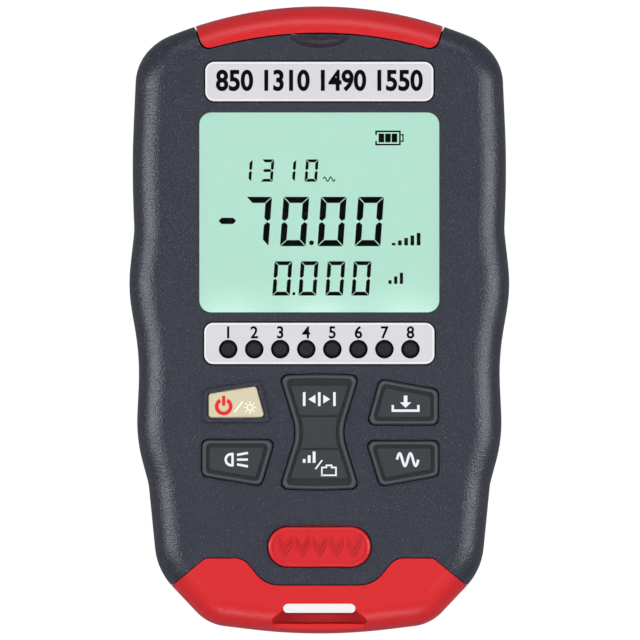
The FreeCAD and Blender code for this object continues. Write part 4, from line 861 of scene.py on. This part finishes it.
# %% Waist and signs of the hourglass key
WAIST_Y, WAIST_REACH, WAIST_HALF, WAIST_SPREAD, WAIST_STEPS = -21.6, 2.95, 2.85, 0.85, 6
WAIST_DROP, WAIST_THICK = 0.3, 0.06

waist_side = [(WAIST_HALF + WAIST_SPREAD * (step / WAIST_STEPS) ** 2,
               WAIST_Y + WAIST_REACH * step / WAIST_STEPS)
              for step in range(-WAIST_STEPS, WAIST_STEPS + 1)]
printed("rocker_waist", [waist_side + [(-x, y) for x, y in waist_side[::-1]]],
        KEY_TOP - WAIST_DROP, WAIST_THICK, "rocker", FINISH["key_plastic"])

reference_sign = [box(0, -15.2, 0.5, 2.65)]
for side in (-1, 1):
    reference_sign.append(ribbon([(2.9 * side, -13.85), (2.9 * side, -16.5)], 0.5))
    reference_sign.append([(2.1 * side, -15.2), (0.75 * side, -14.35), (0.75 * side, -16.05)])
socket_sign = ribbon([(0.5, -29.8), (0.5, -28.3), (1.35, -28.3), (1.35, -27.9), (2.35, -27.9),
                      (2.35, -28.3), (3.2, -28.3), (3.2, -29.8), (0.3, -29.8)], 0.3)
bars_sign = rising_bars(-2.9, -27.4, 3, 0.95, 0.55, 0.72)
slant = ribbon([(-0.75, -28.6), (0.55, -26.9)], 0.3)
key_sign("rocker_signs", reference_sign + bars_sign + [socket_sign, slant], "rocker")

# %% [markdown]
# ## Arrow heads on the release button
#
# The red button has a row of raised outlined arrow heads in its shallow dish. They point to the
# unit that it sets free. They are moulded with the button, so they have its own red, and a
# darker line at their feet stands for the shade that gathers there.

# %% Raised arrow heads
DISH = top_of("release_button") - 0.25
ARROWS, FIRST_ARROW, ARROW_PITCH, ARROW_Y = 5, -6.6, 3.3, -43.55
ARROW_WIDE, ARROW_TALL, ARROW_ARM = 1.15, 1.6, 1.3
SHADE_ASIDE, SHADE_Y = 0.09, -43.66
DEEP_RED = moulded("red_shade", (150, 18, 22), (160, 24, 28), 0.4, 3200, 0.01)


def arrow_head(x, y, width):
    """The two outlines of a V that points to the foot of the instrument."""
    corners = [(x - ARROW_WIDE, y + ARROW_TALL), (x - ARROW_WIDE, y + ARROW_TALL - ARROW_ARM),
               (x, y - ARROW_TALL), (x + ARROW_WIDE, y + ARROW_TALL - ARROW_ARM),
               (x + ARROW_WIDE, y + ARROW_TALL), (x, y - ARROW_TALL + ARROW_ARM)]
    return closed_ribbon(corners, width)


arrows, shades = [], []
for number in range(ARROWS):
    x = FIRST_ARROW + ARROW_PITCH * number
    arrows += arrow_head(x, ARROW_Y, 0.24)
    shades += arrow_head(x + SHADE_ASIDE, SHADE_Y, 0.3)
printed("release_arrows", arrows, DISH - 0.01, 0.2, "release",
        FINISH["red_plastic"])
printed("release_arrow_feet", shades, DISH + LIFT, 0.01, "release", DEEP_RED)

# %% [markdown]
# ## Black lips beside the port cover
#
# The cover swings out of the crown of the case, so a narrow slit is left at each of its ends. A
# thin black lip on the case closes most of it, and its black is a painted shade for the slit.

# %% Black lips in the slits
LIP_FOOT, LIP_HEIGHT, LIP_THICK = 6.0, 14.0, 0.13

# Black lips in the slits beside the cover: a painted shade for the slits.
for name, side in (("slit_shade_lip_left", -1), ("slit_shade_lip_right", 1)):
    lip = ribbon([(side * 22.42, 51.9), (side * 23.9, 56.3)], LIP_THICK)
    printed(name, [lip], LIP_FOOT, LIP_HEIGHT, "meter", FINISH["black_rubber"])

# %% [markdown]
# ## Close the scene
#

# %% Finish
print("scene dressed")
